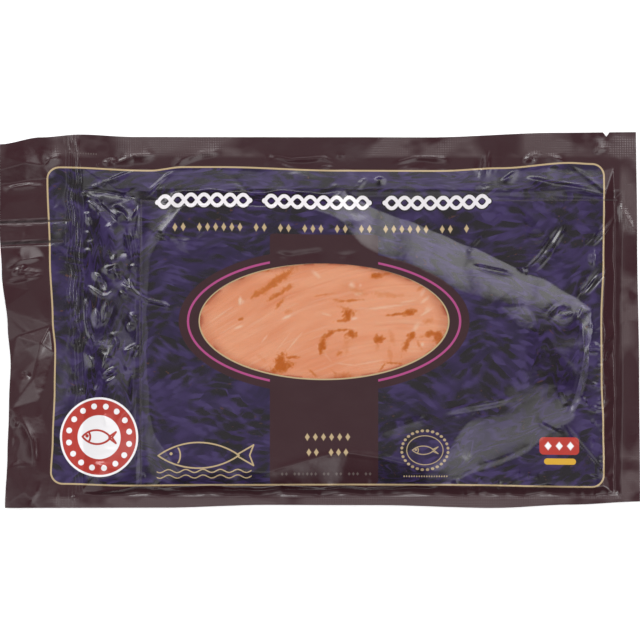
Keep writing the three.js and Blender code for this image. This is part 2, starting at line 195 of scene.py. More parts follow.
end_folds = [
    (0.7, 0.7, (-96.3, 22.8), (-93.4, 23.4), (-90.2, 23.4)), (0.7, 0.7, (-92.9, 21.2), (-90.2, 19)),
    (0.6, 0.8, (-97.4, 17.1), (-93.4, 18), (-89.5, 17.9)),
    (0.5, 0.9, (-94.9, 31.3), (-92.4, 30.7), (-90.6, 31.6)),
    (0.5, 0.8, (-96, 27), (-92.7, 26.4), (-90.6, 27.3)), (0.5, 0.9, (-97, 38.8), (-94.2, 41), (-91.3, 39.9)),
    (0.8, 0.9, (-86.3, 47.6), (-81.7, 47.9), (-75.8, 50.1), (-69.6, 52.6), (-65.8, 53.7)),
    (-0.7, 1.4, (-86.3, 47.1), (-79.8, 46.4), (-71.6, 45), (-64.1, 43.5)),
    (1.0, 0.9, (-86.1, 42), (-82.7, 42.5), (-80.2, 40.5), (-78, 37), (-75.7, 36.1)),
    (-0.8, 1.2, (-85.9, 43.1), (-80.7, 42.8), (-76.7, 39.5), (-71.2, 33.4)),
    (0.9, 0.8, (-85.3, 38.4), (-83.7, 38), (-82.6, 39.2)),
    (1.0, 0.9, (-83.7, 37.9), (-82.8, 35.6), (-81.6, 33.2)), (0.9, 1.0, (-84.8, 46.5), (-84.7, 44.4)),
    (1.2, 2.4, (-74.8, 41), (-70.4, 38.1), (-68.8, 34.5)),
    (-1.0, 1.6, (-65.2, 42.4), (-66.7, 38.8), (-68.5, 34.9)),
    (0.7, 0.9, (-70.1, 33.8), (-68.6, 26.6), (-67, 19.8)),
    (0.9, 0.8, (-67.7, 33.8), (-66.8, 25.9), (-65.8, 18)),
    (0.7, 0.8, (-66.7, 34.1), (-65.4, 25.2), (-64.5, 17.3)),
    (0.6, 0.8, (-85.4, 31.2), (-83.7, 31.4), (-81.9, 30.8)),
    (0.7, 0.8, (-85.4, 28.1), (-82.7, 27.9), (-80.1, 29.1)),
    (0.6, 0.8, (-85.4, 24.3), (-83.7, 25.2), (-81.9, 24.6)),
    (1.0, 0.8, (-75.2, 23), (-74.4, 21.1), (-73.1, 24.2)),
    (1.0, 1.3, (-82.1, 17.5), (-79.8, 15.6), (-77.3, 13.1)),
    (-1.0, 1.2, (-79.8, 15.5), (-77.3, 12.6), (-76.2, 10.4)),
    (1.0, 2.2, (-79.1, 18.7), (-74, 17.6), (-71.2, 14.4)),
    (-1.1, 1.6, (-74, 17.3), (-70.4, 13.7), (-67.9, 10.8)),
    (1.0, 1.0, (-73.7, 16.4), (-69.6, 12.3), (-64.6, 8.8), (-62.1, 7.3), (-56, 5.8), (-51.8, 3.2)),
    (0.8, 1.5, (-68.1, 15.6), (-67.9, 12.2), (-65.4, 9.9)),
    (1.1, 0.9, (-85.4, 12.1), (-82.7, 11.8), (-78.2, 8.7), (-76.2, 8.8), (-73, 11.5)),
    (1.3, 1.1, (-77.3, 8.6), (-76.8, 5.8), (-77, 2.9), (-77.8, 0), (-79.6, -3.4)),
    (1.2, 0.9, (-85.8, 4.7), (-84.2, 7), (-83.6, 4.7), (-83.6, 0), (-82.7, -4.5), (-81.1, -8.8)),
    (0.9, 1.6, (-81.2, 5), (-79.8, 0.7), (-80.5, -4.3)),
    (1.0, 0.9, (-72.2, 10.4), (-70.4, 9.4), (-68.7, 9.3)), (0.8, 1.4, (-69, 2.5), (-66.8, 1.4), (-65, 0)),
    (0.9, 1.3, (-68.8, -4.5), (-68.3, -1.8), (-65.8, -2.5)),
    (1.1, 1.2, (-70.8, -11.7), (-67.6, -10.1), (-64.5, -8.6)),
    (0.9, 1.1, (-64.5, -8.6), (-65.8, -11.5), (-67.3, -14.2)), (0.9, 0.6, (-88.3, -7.2), (-88.3, -9.7)),
    (0.9, 0.6, (-86.2, -7.2), (-86, -9.4)), (0.9, 0.6, (-88.8, -16.5), (-88.5, -19.8)),
    (0.8, 0.6, (-86.8, -16), (-86.5, -19.8)), (0.9, 0.7, (-90.3, -27.9), (-89.7, -25.5), (-89, -24)),
    (0.9, 0.8, (-87.5, -26.8), (-85.7, -25.2), (-83.7, -26.9)),
    (1.2, 1.1, (-78.9, -20.3), (-75.8, -18.5), (-72.4, -16.5)),
    (1.0, 0.7, (-78, -23.3), (-75.1, -21.6), (-71.9, -19.5)),
    (0.9, 0.7, (-81.3, -24.8), (-80.1, -24.2), (-79.1, -22.9)),
    (-0.7, 0.9, (-79.1, -21.9), (-75.5, -20.1), (-72.2, -17.6)),
    (0.6, 0.8, (-70.3, -16), (-69, -17.1), (-67.2, -18.3)),
    (0.6, 1.0, (-66.8, -18.3), (-66.8, -24.4), (-67.2, -30.5)),
    (0.5, 0.9, (-68.3, -32), (-70.8, -34.1), (-73.3, -36.5)),
    (0.5, 1.2, (-89.1, 7.2), (-87.7, 2.9), (-88, -3.6)),
    (0.6, 1.2, (-74.8, -3.6), (-72.6, -7.9), (-73.3, -12.9)),
    (0.5, 1.6, (-84.8, -11.5), (-81.9, -14.4), (-81.2, -18.7)),
    (0.5, 1.4, (-79.1, -10.8), (-76.2, -13.7), (-71.9, -14.4)),
    (0.5, 1.6, (-84.8, -55.3), (-77.6, -56.8), (-69, -55.3)),
]
top_folds = [
    (0.7, 0.8, (-91.3, 60.4), (-89.8, 60.9), (-88.4, 60)), (0.6, 0.7, (-87.5, 66.1), (-87.5, 60.7)),
    (0.8, 0.7, (-80.3, 55.2), (-79.6, 56.2)), (1.0, 1.6, (-78.7, 56), (-76.2, 57), (-72.1, 58)),
    (0.9, 0.8, (-77.6, 55.3), (-71.6, 57.1), (-68.1, 57.9), (-67.3, 58.9), (-59.5, 59.4), (-58.4, 60.5)),
    (0.6, 3.8, (-58.2, 59.6), (-67.3, 58.8), (-74, 56.4)),
    (0.6, 2.8, (-34.5, 60.8), (-42, 60.2), (-47.4, 58.4), (-54.5, 54.8)),
    (0.7, 1.0, (-49.6, 56.1), (-42.4, 59.8), (-35.2, 60.4)),
    (0.7, 0.8, (-63.8, 43.6), (-60, 47.4), (-55.5, 51.6), (-49.6, 55.1)),
    (-0.6, 1.0, (-63.1, 43.3), (-58.9, 47.1), (-54.6, 51.3)),
    (1.0, 0.8, (-17.6, 55.3), (-16.5, 58.2), (-14.7, 58.7), (-10.7, 57.6), (1.4, 58.5), (4.4, 56.9),
     (6.1, 55)),
    (1.0, 0.8, (-16.5, 58.1), (-15.3, 56.2), (-12.2, 54.8), (-7.5, 55)),
    (0.9, 1.0, (-1.4, 54.5), (2.2, 55.1), (5.9, 54.6)), (0.9, 0.8, (6.1, 60.5), (7.5, 59.1), (6.8, 57.5)),
    (-0.35, 1.6, (-12.9, 56.6), (-5, 56.2), (0.7, 57)),
    (0.5, 1.6, (-20.8, 54.6), (-18.7, 58.2), (-17.6, 61.1)),
    (0.9, 0.9, (24.6, 54.8), (28.6, 56.9), (34.1, 58.4), (38.8, 58.6), (44.6, 58), (47.4, 54.6)),
    (-0.35, 2.2, (27.3, 55.3), (35.9, 57), (44.6, 55.7)), (0.8, 0.8, (11.7, 45.6), (15, 49.6), (17.6, 52.2)),
    (0.9, 1.4, (19.8, 51), (21.6, 50.1), (23, 51)), (0.6, 0.8, (4.2, 48.9), (5.2, 48.4), (6.5, 47.3)),
    (-0.8, 1.4, (58.4, 61.1), (57.3, 55), (56.9, 49.6)), (0.6, 1.6, (60.7, 61.8), (60, 55.3), (59.7, 50.3)),
    (-0.6, 1.0, (54.8, 47.1), (58.2, 47.8), (62.5, 49.3)), (0.7, 1.6, (63.6, 48.9), (67.6, 51), (71.2, 53.9)),
    (0.9, 1.8, (72.2, 56.2), (76.1, 59.2), (79.3, 59.7)),
    (0.6, 1.8, (79.4, 59.2), (84.5, 58.2), (89.1, 56.6)), (1.1, 0.9, (76.3, 58.6), (76.7, 56.6)),
    (1.0, 0.7, (78.5, 60.1), (79.4, 59.5)), (0.6, 2.6, (104.4, 61.8), (100.6, 61.4), (97.2, 59.6)),
    (0.7, 0.8, (88.4, 56.2), (94.9, 52.3), (101.3, 47.2), (106.8, 43)),
    (0.9, 1.8, (107, 42.8), (110.5, 36.2), (113.6, 30.2)),
    (0.6, 1.8, (72.5, 50.9), (78.3, 50), (84.4, 48.6), (93.4, 47.3), (106.7, 43.1)),
    (-0.35, 0.7, (-64.1, 42.9), (-43, 42.6), (0, 42.5), (36, 42.6), (72, 43), (106.8, 43)),
    (-0.35, 0.7, (-64.2, 43.2), (-64.5, 0), (-64.2, -59)),
]
slice_folds = [
    (0.45, 0.8, (-62.3, 32), (-58.6, 30), (-54.5, 27.9), (-51.8, 26.2)),
    (-0.5, 1.2, (-62.2, 32.7), (-57.5, 30.9), (-50.3, 28.8)),
    (0.9, 0.7, (-38.5, 35.6), (-41, 32.8), (-43.1, 30.5), (-44.7, 28.5), (-44.3, 26.6)),
    (0.5, 2.4, (-54.6, 29.1), (-48.9, 28.4), (-44.9, 28.4)),
    (-0.5, 0.9, (-51, 26.4), (-47.9, 23.9), (-44.9, 21.9)),
    (-0.6, 0.9, (-33.4, 53.2), (-29.5, 50), (-25.2, 45.6), (-21.2, 40.8)),
    (0.4, 0.8, (-63.6, 7.7), (-56.5, 6.2), (-51.4, 3.7)), (0.35, 0.8, (-62.2, 5.4), (-58.2, 4), (-53.2, 3.4)),
    (0.3, 0.8, (-52, -7.5), (-50.3, -11.5), (-48.4, -16.6), (-46, -22.3), (-43.1, -28.8)),
    (0.25, 1.8, (-41, 20.8), (-38.1, 25.2), (-33.8, 26.6)),
    (-0.35, 2.6, (-17.6, 24.1), (-10.8, 22.8), (0, 24.4), (3.6, 23)),
    (-0.3, 2.2, (4.3, 24.4), (8.6, 23), (15.1, 24.4)), (0.7, 0.7, (60.9, 34.3), (62.9, 36.4), (65.7, 39.5)),
    (0.9, 0.8, (59, 31.6), (57.5, 29.5), (55.5, 27), (54.1, 24.9)),
    (0.5, 1.0, (52.5, 25.5), (54.3, 24.7), (56.8, 25.2)),
    (0.4, 0.8, (86.6, 36.2), (84.4, 32.8), (82.4, 30.2), (78.8, 24.7), (74.2, 19.7), (69.4, 16.4)),
    (0.7, 1.3, (88.4, 35.4), (87.1, 31.6), (85.2, 28.4), (82.0, 22.9), (78.8, 19.2), (75.4, 16.4)),
    (-1.1, 0.8, (87.4, 35.0), (83.3, 28.4), (79.1, 22.8), (73.0, 17)),
    (-0.9, 1.6, (52.5, 20), (58.2, 18.7), (64.7, 17.4), (70.4, 16.2)),
    (0.7, 1.2, (70.6, 18.8), (73, 17.6), (75.2, 15.6)),
    (1.3, 0.8, (106.9, 38.6), (104.6, 34.4), (101.3, 30.2), (96.3, 25.2)),
    (0.9, 0.7, (101, 32.6), (97.8, 29.5), (93.5, 25.6)), (-0.8, 0.9, (104.9, 36.7), (100.6, 31.8), (97, 28)),
    (0.9, 1.6, (98.8, 25.9), (97.9, 22.3), (98.1, 18.5)),
    (1.5, 0.7, (104.9, 19.8), (101.3, 15.6), (98.5, 12.2), (94.8, 8)),
    (1.2, 0.6, (100.6, 16.7), (97.6, 12.5), (94.6, 8.4)), (-1.1, 1.4, (100.6, 18.5), (96.3, 12.9), (91.5, 7)),
    (1.0, 0.7, (94.6, 5.6), (93, 3.5), (91.6, 0)),
    (0.9, 0.8, (80.7, -0.4), (82.3, 2.5), (84.4, 4.6), (89.1, 6.5)),
    (1.0, 0.7, (85, 0.8), (88.8, 2.2), (93.2, 3.7)), (0.9, 0.7, (90.2, 0.2), (91.6, 1.8), (93.2, 3.7)),
    (-0.8, 1.0, (82.7, 0.7), (86.3, 3.2), (90.6, 5)),
    (0.5, 1.6, (88.4, -35.9), (89.4, -32.1), (91.3, -27.1), (93.1, -19.7), (94.5, -11.9), (94, -6.8),
     (93.5, 0.4)),
    (0.9, 0.6, (84.7, -23.9), (85.5, -28), (86.7, -32.2)),
    (0.9, 0.6, (86.1, -23.9), (87.6, -28.4), (89.1, -30.2)),
    (1.0, 0.6, (86.8, -32), (88, -30.9), (89.1, -30.2)),
    (1.2, 0.7, (86.1, -36.1), (89, -39.9), (90.9, -42.3)),
    (0.8, 0.6, (90.9, -42.3), (93.5, -45.4), (97, -49.5), (101.3, -54.6), (105.9, -59.6)),
    (0.8, 0.6, (88, -36.1), (91.3, -40.3), (96.3, -46.2), (101.9, -53.2)),
    (-0.8, 0.9, (87, -36.7), (92.7, -43.5), (101.3, -53.9)),
    (0.7, 1.4, (77.5, -33.9), (79.8, -37.6), (83.4, -39.4), (89, -40.8)),
    (0.5, 1.4, (43.1, -33), (52.3, -31), (61.5, -29.6), (69, -28.2)),
    (-0.6, 1.8, (44.6, -34.4), (53.9, -32.7), (62.5, -31.1), (69.7, -29.1)),
    (0.55, 1.9, (78.7, -43.8), (70.6, -47.7), (63.8, -50.4), (57.9, -52.1), (52.3, -54.1), (49.6, -56.4)),
    (1.0, 0.8, (49.6, -56.2), (48.5, -59.3)), (0.8, 1.0, (47.1, -54.4), (49.6, -56.4)),
    (0.5, 1.4, (46, -54.9), (39.2, -53.4), (30.7, -51.4), (22.6, -49.4), (10.6, -47.7), (2, -48.5),
     (-9.4, -51.7), (-18, -54)),
    (0.35, 3.0, (20.8, -40.6), (29.1, -37.6), (40.3, -34.1)),
    (0.7, 0.7, (94.5, -2.9), (97, -1.8), (99.9, -2.9)), (0.7, 0.7, (94.9, -9.7), (97, -11.4), (99.2, -10.8)),
    (0.8, 1.2, (93.1, -26.2), (95.2, -29.1), (97.4, -31.3)),
    (0.7, 0.8, (98.1, -35.2), (99.2, -36.7), (100.1, -38.5)),
    (0.6, 0.9, (96.7, -41), (97.8, -43.8), (97.4, -46.7)), (0.6, 0.7, (62.7, -55.7), (63.2, -58.9)),
    (0.7, 0.7, (70.6, -52.5), (71.7, -57.9)), (0.7, 0.7, (74.8, -52.5), (75.1, -58.6)),
    (0.6, 0.7, (77.1, -54.3), (78.3, -58.2)), (0.8, 0.9, (-61.6, -62), (-58, -58.5), (-56.4, -56.3)),
    (0.8, 0.8, (-51, -60), (-49.8, -61.7)), (0.7, 0.8, (-64.4, -54.8), (-63.2, -55.7), (-62.3, -56.8)),
    (0.9, 0.8, (-90, -65), (-88.8, -63.6), (-86.6, -63.6)),
]

# Crinkles too small and many to place one by one, drawn from a seeded rule in each patch.
crinkle_seed = 7
valley_share = 0.6
crinkle_patches = [
    {"count": 16, "x": (-83, -66), "y": (-58, 50), "tilt": 0.9, "spread": 1.2,
     "length": (4, 12), "steepness": (0.5, 1.1), "steep_side": (0.7, 1.6)},
    {"count": 32, "x": (98, 104.6), "y": (-57, 6), "tilt": 0, "spread": 0.4,
     "length": (3, 7), "steepness": (0.6, 1.2), "steep_side": (0.6, 1.1)},
    {"count": 18, "x": (-60, 100), "y": (-62, -57), "tilt": 1.57, "spread": 0.5,
     "length": (3, 6), "steepness": (0.6, 1.2), "steep_side": (0.7, 1.3)},
]


def seeded_draws(seed):
    state = seed

    def draw(low, high):
        nonlocal state
        state = (state * 1664525 + 1013904223) % 4294967296
        return low + (high - low) * state / 4294967296

    return draw


def drawn_crinkles(patches, seed):
    draw = seeded_draws(seed)
    made = []
    for patch in patches:
        for i in range(patch["count"]):
            x = draw(*patch["x"])
            y = draw(*patch["y"])
            turn = patch["tilt"] + draw(-patch["spread"], patch["spread"])
            reach = draw(*patch["length"]) / 2
            steepness = draw(*patch["steepness"]) * (1 if i % 2 else -valley_share)
            dx, dy = reach * math.cos(turn), reach * math.sin(turn)
            made.append((steepness, draw(*patch["steep_side"]), (x - dx, y - dy), (x + dx, y + dy)))
    return made


fold_lean = 2.2
fold_taper = 6
crest_slope = 0.8


def fold_relief(folds, x, y):
    """The summed height of folds. Each has a sharp crest, one steep side and one that leans out."""
    z = np.zeros_like(x)
    for steepness, steep_side, *points in folds:
        height = steepness * crest_slope * steep_side / 2
        wide_side = steep_side * fold_lean
        points = np.array(points)
        low, high = points.min(axis=0) - wide_side, points.max(axis=0) + wide_side
        near = np.flatnonzero((x > low[0]) & (x < high[0]) & (y > low[1]) & (y < high[1]))
        near_x, near_y = x[near], y[near]
        nearest = np.full(len(near), np.inf)
        run = np.zeros(len(near))
        on_lean = np.zeros(len(near), bool)
        walked = 0
        for (x1, y1), (x2, y2) in zip(points, points[1:]):
            share, distance = segment_place(near_x, near_y, x1, y1, x2, y2)
            length = math.hypot(x2 - x1, y2 - y1)
            closer = distance < nearest
            nearest = np.where(closer, distance, nearest)
            run = np.where(closer, walked + share * length, run)
            on_lean = np.where(closer, (near_x - x1) * (y2 - y1) > (near_y - y1) * (x2 - x1), on_lean)
            walked += length
        reach = np.where(on_lean, wide_side, steep_side)
        end_taper = ease(np.minimum(run, walked - run) / min(fold_taper, walked / 2))
        z[near] += height * end_taper * np.maximum(0, 1 - nearest / reach) ** 2
    return z


# Film that was crushed and pulled flat again keeps flat facets between sharp ridges: each patch
# is x from and to, y from and to, the facets' size, and the height of their corners.
facet_seed = 11
facet_jitter = 0.42
facet_patches = [
    (-88, -63.5, -63, 58, 10, 0.5),
    (-86, 112, 52, 68, 10, 0.22),
    (-62, 40, 44, 54, 11, 0.14),
    (40, 106, 44, 54, 10, 0.26),
    (99, 105.6, -62, 6, 2.4, 0.36),
    (-64, 106, -63.5, -57.5, 2.8, 0.26),
    (60, 104, -58, 42, 12, 0.28),
    (-62, 60, -58, 42, 24, 0.16),
]


# The loose flap's own creases meet at these corners, each x, y and height.
flap_corners = [
    (-118, 70, 0.25), (-106, 70, 0), (-90, 70, 0), (-118, 60, 0.88), (-107, 62, 0.62), (-99, 62, 0),
    (-118, 53.2, 1.12), (-106, 56.4, 1.38), (-105.5, 49.8, 0.12), (-118, 47.6, 0), (-99.5, 55.5, 0.88),
    (-93, 58, 0.12), (-96, 51, 0.12), (-90, 50, 0), (-112, 42, 0.62), (-103, 43, 0.75), (-97, 38, 0.12),
    (-90, 36, 0), (-118, 36, 0.75), (-118, 31, 0.38), (-106, 32, 0.62), (-97, 31, 0.12), (-118, 24, 0.75),
    (-108, 23.6, 1.12), (-99, 23, 0.38), (-90, 22, 0), (-118, 14, 0.25), (-104, 11, 0.88), (-97, 9, 0.12),
    (-90, 6, 0), (-113.4, 4.2, 1.38), (-118, 5, 1.12), (-109, -6, 0.19), (-100.1, -8.6, 1.88),
    (-118, -10.6, 0.12), (-97, -2, 0.12), (-95.4, -12, 0), (-90, -10, 0), (-112, -19, 0.25),
    (-118, -22, 0.12), (-101.4, -14.6, 1.44), (-103.2, -21.2, 1.56), (-98, -20, 0.12), (-107.2, -26.8, 1.38),
    (-101, -29, 0.19), (-95, -28, 0), (-110.8, -31.8, 1.12), (-118, -34, 0.62), (-111.4, -38, 0.12),
    (-104, -40, 0.88), (-97, -41, 0), (-90, -40, 0), (-118, -47, 0.75), (-109, -50, 0.25),
    (-102.4, -53, 0.62), (-97, -56, 0), (-118, -70, 0), (-106, -62, 0.75), (-98, -70, 0), (-90, -70, 0),
]


def hung_facets(x, y, places, heights):
    """The height of flat triangular facets hung between corners."""
    z = np.zeros_like(x)
    flat_places = [Vector(place) for place in places]
    corners, _, triangles, sources, _, _ = delaunay_2d_cdt(flat_places, [], [], 0, 1e-6)
    for triangle in triangles:
        (xa, ya), (xb, yb), (xc, yc) = (corners[n] for n in triangle)
        za, zb, zc = (heights[sources[n][0]] for n in triangle)
        near = np.flatnonzero(
            (x >= min(xa, xb, xc)) & (x <= max(xa, xb, xc)) & (y >= min(ya, yb, yc)) & (y <= max(ya, yb, yc))
        )
        double_area = (xb - xa) * (yc - ya) - (xc - xa) * (yb - ya)
        share_b = ((x[near] - xa) * (yc - ya) - (xc - xa) * (y[near] - ya)) / double_area
        share_c = ((xb - xa) * (y[near] - ya) - (x[near] - xa) * (yb - ya)) / double_area
        inside = (share_b >= 0) & (share_c >= 0) & (share_b + share_c < 1)
        z[near[inside]] += (za + share_b * (zb - za) + share_c * (zc - za))[inside]
    return z


def facet_relief(x, y):
    """The summed height of all facets. A patch's corners lie on a grid, a little off their places."""
    draw = seeded_draws(facet_seed)
    z = hung_facets(x, y, [corner[:2] for corner in flap_corners], [corner[2] for corner in flap_corners])
    for x_from, x_to, y_from, y_to, size, corner in facet_patches:
        columns = max(2, round((x_to - x_from) / size))
        rows = max(2, round((y_to - y_from) / size))
        places, heights = [], []
        for j in range(rows + 1):
            for i in range(columns + 1):
                on_side = i in (0, columns) or j in (0, rows)
                jitter = 0 if on_side else facet_jitter
                place_x = x_from + (x_to - x_from) * (i + draw(-jitter, jitter)) / columns
                place_y = y_from + (y_to - y_from) * (j + draw(-jitter, jitter)) / rows
                places.append((place_x, place_y))
                heights.append(0 if on_side else draw(-corner, corner))
        z += hung_facets(x, y, places, heights)
    return z


# The weld bars press ribs into the end that is closed last. They fade out towards the bottom.
weld_ribs = {"from": -91.6, "to": -85.4, "pitch": 1.25, "height": 0.32, "faint_below": -14, "fade_run": 16}


def weld_rib_relief(x, y):
    wobble = 0.35 * np.sin(y / 3.1) + 0.25 * np.sin(y / 1.7 + 1)
    across = (x + wobble - weld_ribs["from"]) / (weld_ribs["to"] - weld_ribs["from"])
    band = ease(across * 5) * ease((1 - across) * 5)
    fade = 0.25 + 0.75 * ease((y - weld_ribs["faint_below"]) / weld_ribs["fade_run"])
    unevenness = 0.7 + 0.3 * np.sin(y / 4.3 + 2 * np.sin(x))
    ribs = 0.5 + 0.5 * np.cos((x + wobble) * (2 * math.pi / weld_ribs["pitch"]))
    return weld_ribs["height"] * band * fade * unevenness * ribs


all_folds = flap_folds + end_folds + top_folds + slice_folds + drawn_crinkles(crinkle_patches, crinkle_seed)


def front_surface(x, y):
    height = drawn_height(x, y)
    relief = fold_relief(all_folds, x, y) + facet_relief(x, y) + weld_rib_relief(x, y)
    return back_surface(x, y) + height + np.maximum(relief, -height / 2)


# ---- Front film: its mesh ------------------------------------------------------------
# The film is the upper half of the pouch, from the plane of the weld up, cut through where the
# clear window is. Its outline bows in at the ends, and the top edge has a tear notch.

film_columns = [
    (-115, -92, 0.65), (-92, -85, 0.28), (-85, -62, 0.36), (-62, -40, 0.7), (-40, 48, 1.05),
    (48, 60, 0.6), (60, 96, 0.53), (96, 108, 0.37), (108, 115, 0.7),
]
film_rows = [
    (-67.5, -63, 0.6), (-63, -56, 0.42), (-56, -22, 0.64), (-22, 22, 0.54), (22, 62, 0.48), (62, 67.5, 0.65),
]
weld_plane = 0.22
window = {"x": 1.4, "y": -0.4, "half_length": 44.4, "half_width": 20.6, "sides": 180}
notch = {"x": 102.8, "half_width": 1.15, "depth": 1.6}


def steps(zones):
    """The lines between faces, from zones that each have their own step."""
    lines = [zones[0][0]]
    for start, end, step in zones:
        count = round((end - start) / step)
        lines += [start + (end - start) * i / count for i in range(1, count + 1)]
    return np.array(lines)


def pouch_point(x, y):
    """Stretches points of the plain rectangle so that its sides take the pouch's true edges."""
    across = (x + pack_length / 2) / pack_length
    up = (y + pack_width / 2) / pack_width
    left, right = -along(left_edge, y), along(right_edge, y)
    bottom, top = -along(bottom_edge, x), along(top_edge, x)
    return left + (right - left) * across, bottom + (top - bottom) * up


def plain_point(x, y):
    return x, y


def sheet_solid(name, columns, rows, place, surface, flat_z):
    """A closed solid between a surface over a grid and a flat plane below it, or above it."""
    bm = bmesh.new()
    bmesh.ops.create_grid(bm, x_segments=len(columns) - 1, y_segments=len(rows) - 1, size=1)
    bmesh.ops.extrude_edge_only(bm, edges=[edge for edge in bm.edges if edge.is_boundary])
    far_rim = [edge for edge in bm.edges if edge.is_boundary]
    far_points = {point for edge in far_rim for point in edge.verts}
    bmesh.ops.translate(bm, verts=list(far_points), vec=(0, 0, math.copysign(1, flat_z)))
    bmesh.ops.edgeloop_fill(bm, edges=far_rim)
    bmesh.ops.recalc_face_normals(bm, faces=bm.faces)
    piece = object_from(name, bm)
    mesh = piece.data
    co = vertex_places(mesh)
    column = np.rint((co[:, 0] + 1) / 2 * (len(columns) - 1)).astype(int)
    row = np.rint((co[:, 1] + 1) / 2 * (len(rows) - 1)).astype(int)
    x, y = place(columns[column], rows[row])
    z = np.where(co[:, 2] == 0, surface(x, y), flat_z)
    mesh.vertices.foreach_set("co", np.column_stack([x, y, z]).ravel())
    mesh.update()
    return piece


def vertex_places(mesh):
    co = np.empty(len(mesh.vertices) * 3)
    mesh.vertices.foreach_get("co", co)
    return co.reshape(-1, 3)


def object_from(name, bm):
    """An object in the scene with the mesh that was modelled in bm."""
    mesh = bpy.data.meshes.new(name)
    bm.to_mesh(mesh)
    bm.free()
    made = bpy.data.objects.new(name, mesh)
    bpy.context.collection.objects.link(made)
    return made


def prism(name, sides, centre, reach, low, high):
    """An upright prism, round where it has many sides, that reaches this far along X and Y."""
    bm = bmesh.new()
    bmesh.ops.create_cone(bm, cap_ends=True, segments=sides, radius1=1, radius2=1, depth=1)
    bmesh.ops.scale(bm, verts=bm.verts, vec=(reach[0], reach[1], high - low))
    bmesh.ops.translate(bm, verts=bm.verts, vec=(centre[0], centre[1], (low + high) / 2))
    return object_from(name, bm)


def cut_to_shape(piece, cuts):
    """Applies boolean cuts, each a cutting object and what to do with it, and clears them away."""
    for cutter, operation in cuts:
        modifier = piece.modifiers.new("cut", "BOOLEAN")
        modifier.object = cutter
        modifier.operation = operation
        modifier.solver = "MANIFOLD"
    evaluated = piece.evaluated_get(bpy.context.evaluated_depsgraph_get())
    mesh = bpy.data.meshes.new_from_object(evaluated)
    piece.modifiers.clear()
    piece.data = mesh
    for cutter, _ in cuts:
        bpy.data.objects.remove(cutter)


sharp_angle = 50


def finish_piece(piece, material):
    """Gives a piece its material and smooth shading, and turns its millimetres to metres."""
    mesh = piece.data
    mesh.materials.clear()
    mesh.materials.append(material)
    mesh.shade_smooth()
    mesh.set_sharp_from_angle(angle=math.radians(sharp_angle))
    mesh.vertices.foreach_set("co", (vertex_places(mesh) / 1000).ravel())
    mesh.update()


def weld_surface(x, y):
    return back_surface(x, y) + weld_plane


far_below = -8
below_films = -1
far_above = 40


def window_prism(reach_in):
    """A cutter of the window's outline, drawn in by this much."""
    reach = (window["half_length"] - reach_in, window["half_width"] - reach_in)
    return prism("window_cut", window["sides"], (window["x"], window["y"]), reach, below_films, far_above)


def notch_prism():
    """A square cutter that stands on its corner, for the tear notch."""
    reach = 2 * notch["depth"]
    centre = (notch["x"], float(along(top_edge, notch["x"])) - notch["depth"] + reach)
    return prism("notch_cut", 4, centre, (2 * notch["half_width"], reach), far_below, far_above)


coarse_step = 2.2
past_pack = 4
coarse_grid = [
    steps([(-size / 2 - past_pack, size / 2 + past_pack, coarse_step)]) for size in (pack_length, pack_width)
]

front_film = sheet_solid(
    "front_film", steps(film_columns), steps(film_rows), pouch_point, front_surface, far_below
)
above_weld = sheet_solid("above_weld", *coarse_grid, plain_point, weld_surface, far_above)
cut_to_shape(front_film, [
    (above_weld, "INTERSECT"), (window_prism(0), "DIFFERENCE"), (notch_prism(), "DIFFERENCE"),
])


# ---- Front film: its print -----------------------------------------------------------
# Inks on the inside of the film: a plum ground, a brushed indigo panel in a thin gold frame, a
# plum band and ring round the window, and plain ornaments in place of words.

# Where the frame's four lines run on the finished pack, as (place along it, distance), and
# where they lie in the flat print. The film draws in between, so inner print hardly moves.
frame_flat = {"left": -96.5, "right": 101.5, "bottom": -59.2, "top": 55.0}
frame_left = [
    (-55.7, -96.6), (-43.1, -95.95), (-25.2, -95.3), (-10.8, -95.1), (0, -95.95), (23, -97.0), (50.7, -97.9),
]
frame_right = [(-53.9, 101.8), (-37.7, 101.6), (-21.6, 101.0), (0, 100.9), (22.6, 101.7), (47.8, 101.9)]
frame_bottom = [(-93.4, -58.8), (-68.3, -59.4), (-43, -59.1), (16.9, -59.0), (43.1, -59.1), (98.8, -59.9)]
frame_top = [
    (-93.4, 54.8), (-61.1, 53.6), (-49.2, 54.9), (-35.9, 54.9), (7.2, 53.6), (43.1, 53.5), (64.7, 54.5),
    (89.8, 56.4), (98, 56.0),
]
print_gives_over = 50


def flat_shift(place, run, frame_sides):
    """How far each point moves into the flat print, near the frame's sides that it lies between."""
    shift = np.zeros_like(place)
    for line, side, sign in frame_sides:
        runs_at = along(line, run)
        inward = np.maximum(0, sign * (runs_at - place))
        shift += (frame_flat[side] - runs_at) * np.maximum(0, 1 - inward / print_gives_over)
    return shift


def flat_print_place(x, y):
    """Where a point of the stretched film lies in the flat print."""
    ends = ((frame_left, "left", -1), (frame_right, "right", 1))
    sides = ((frame_bottom, "bottom", -1), (frame_top, "top", 1))
    return x + flat_shift(x, y, ends), y + flat_shift(y, x, sides)


def store_values(mesh, name, values):
    """Keeps one number or place for each vertex, which a material reads by its name."""
    kind = "FLOAT" if values.ndim == 1 else "FLOAT_VECTOR"
    field = "value" if values.ndim == 1 else "vector"
    mesh.attributes.new(name, kind, "POINT").data.foreach_set(field, values.ravel())


def store_print_place(mesh):
    co = vertex_places(mesh)
    print_x, print_y = flat_print_place(co[:, 0], co[:, 1])
    store_values(mesh, "print_place", np.column_stack([print_x, print_y, co[:, 2]]))


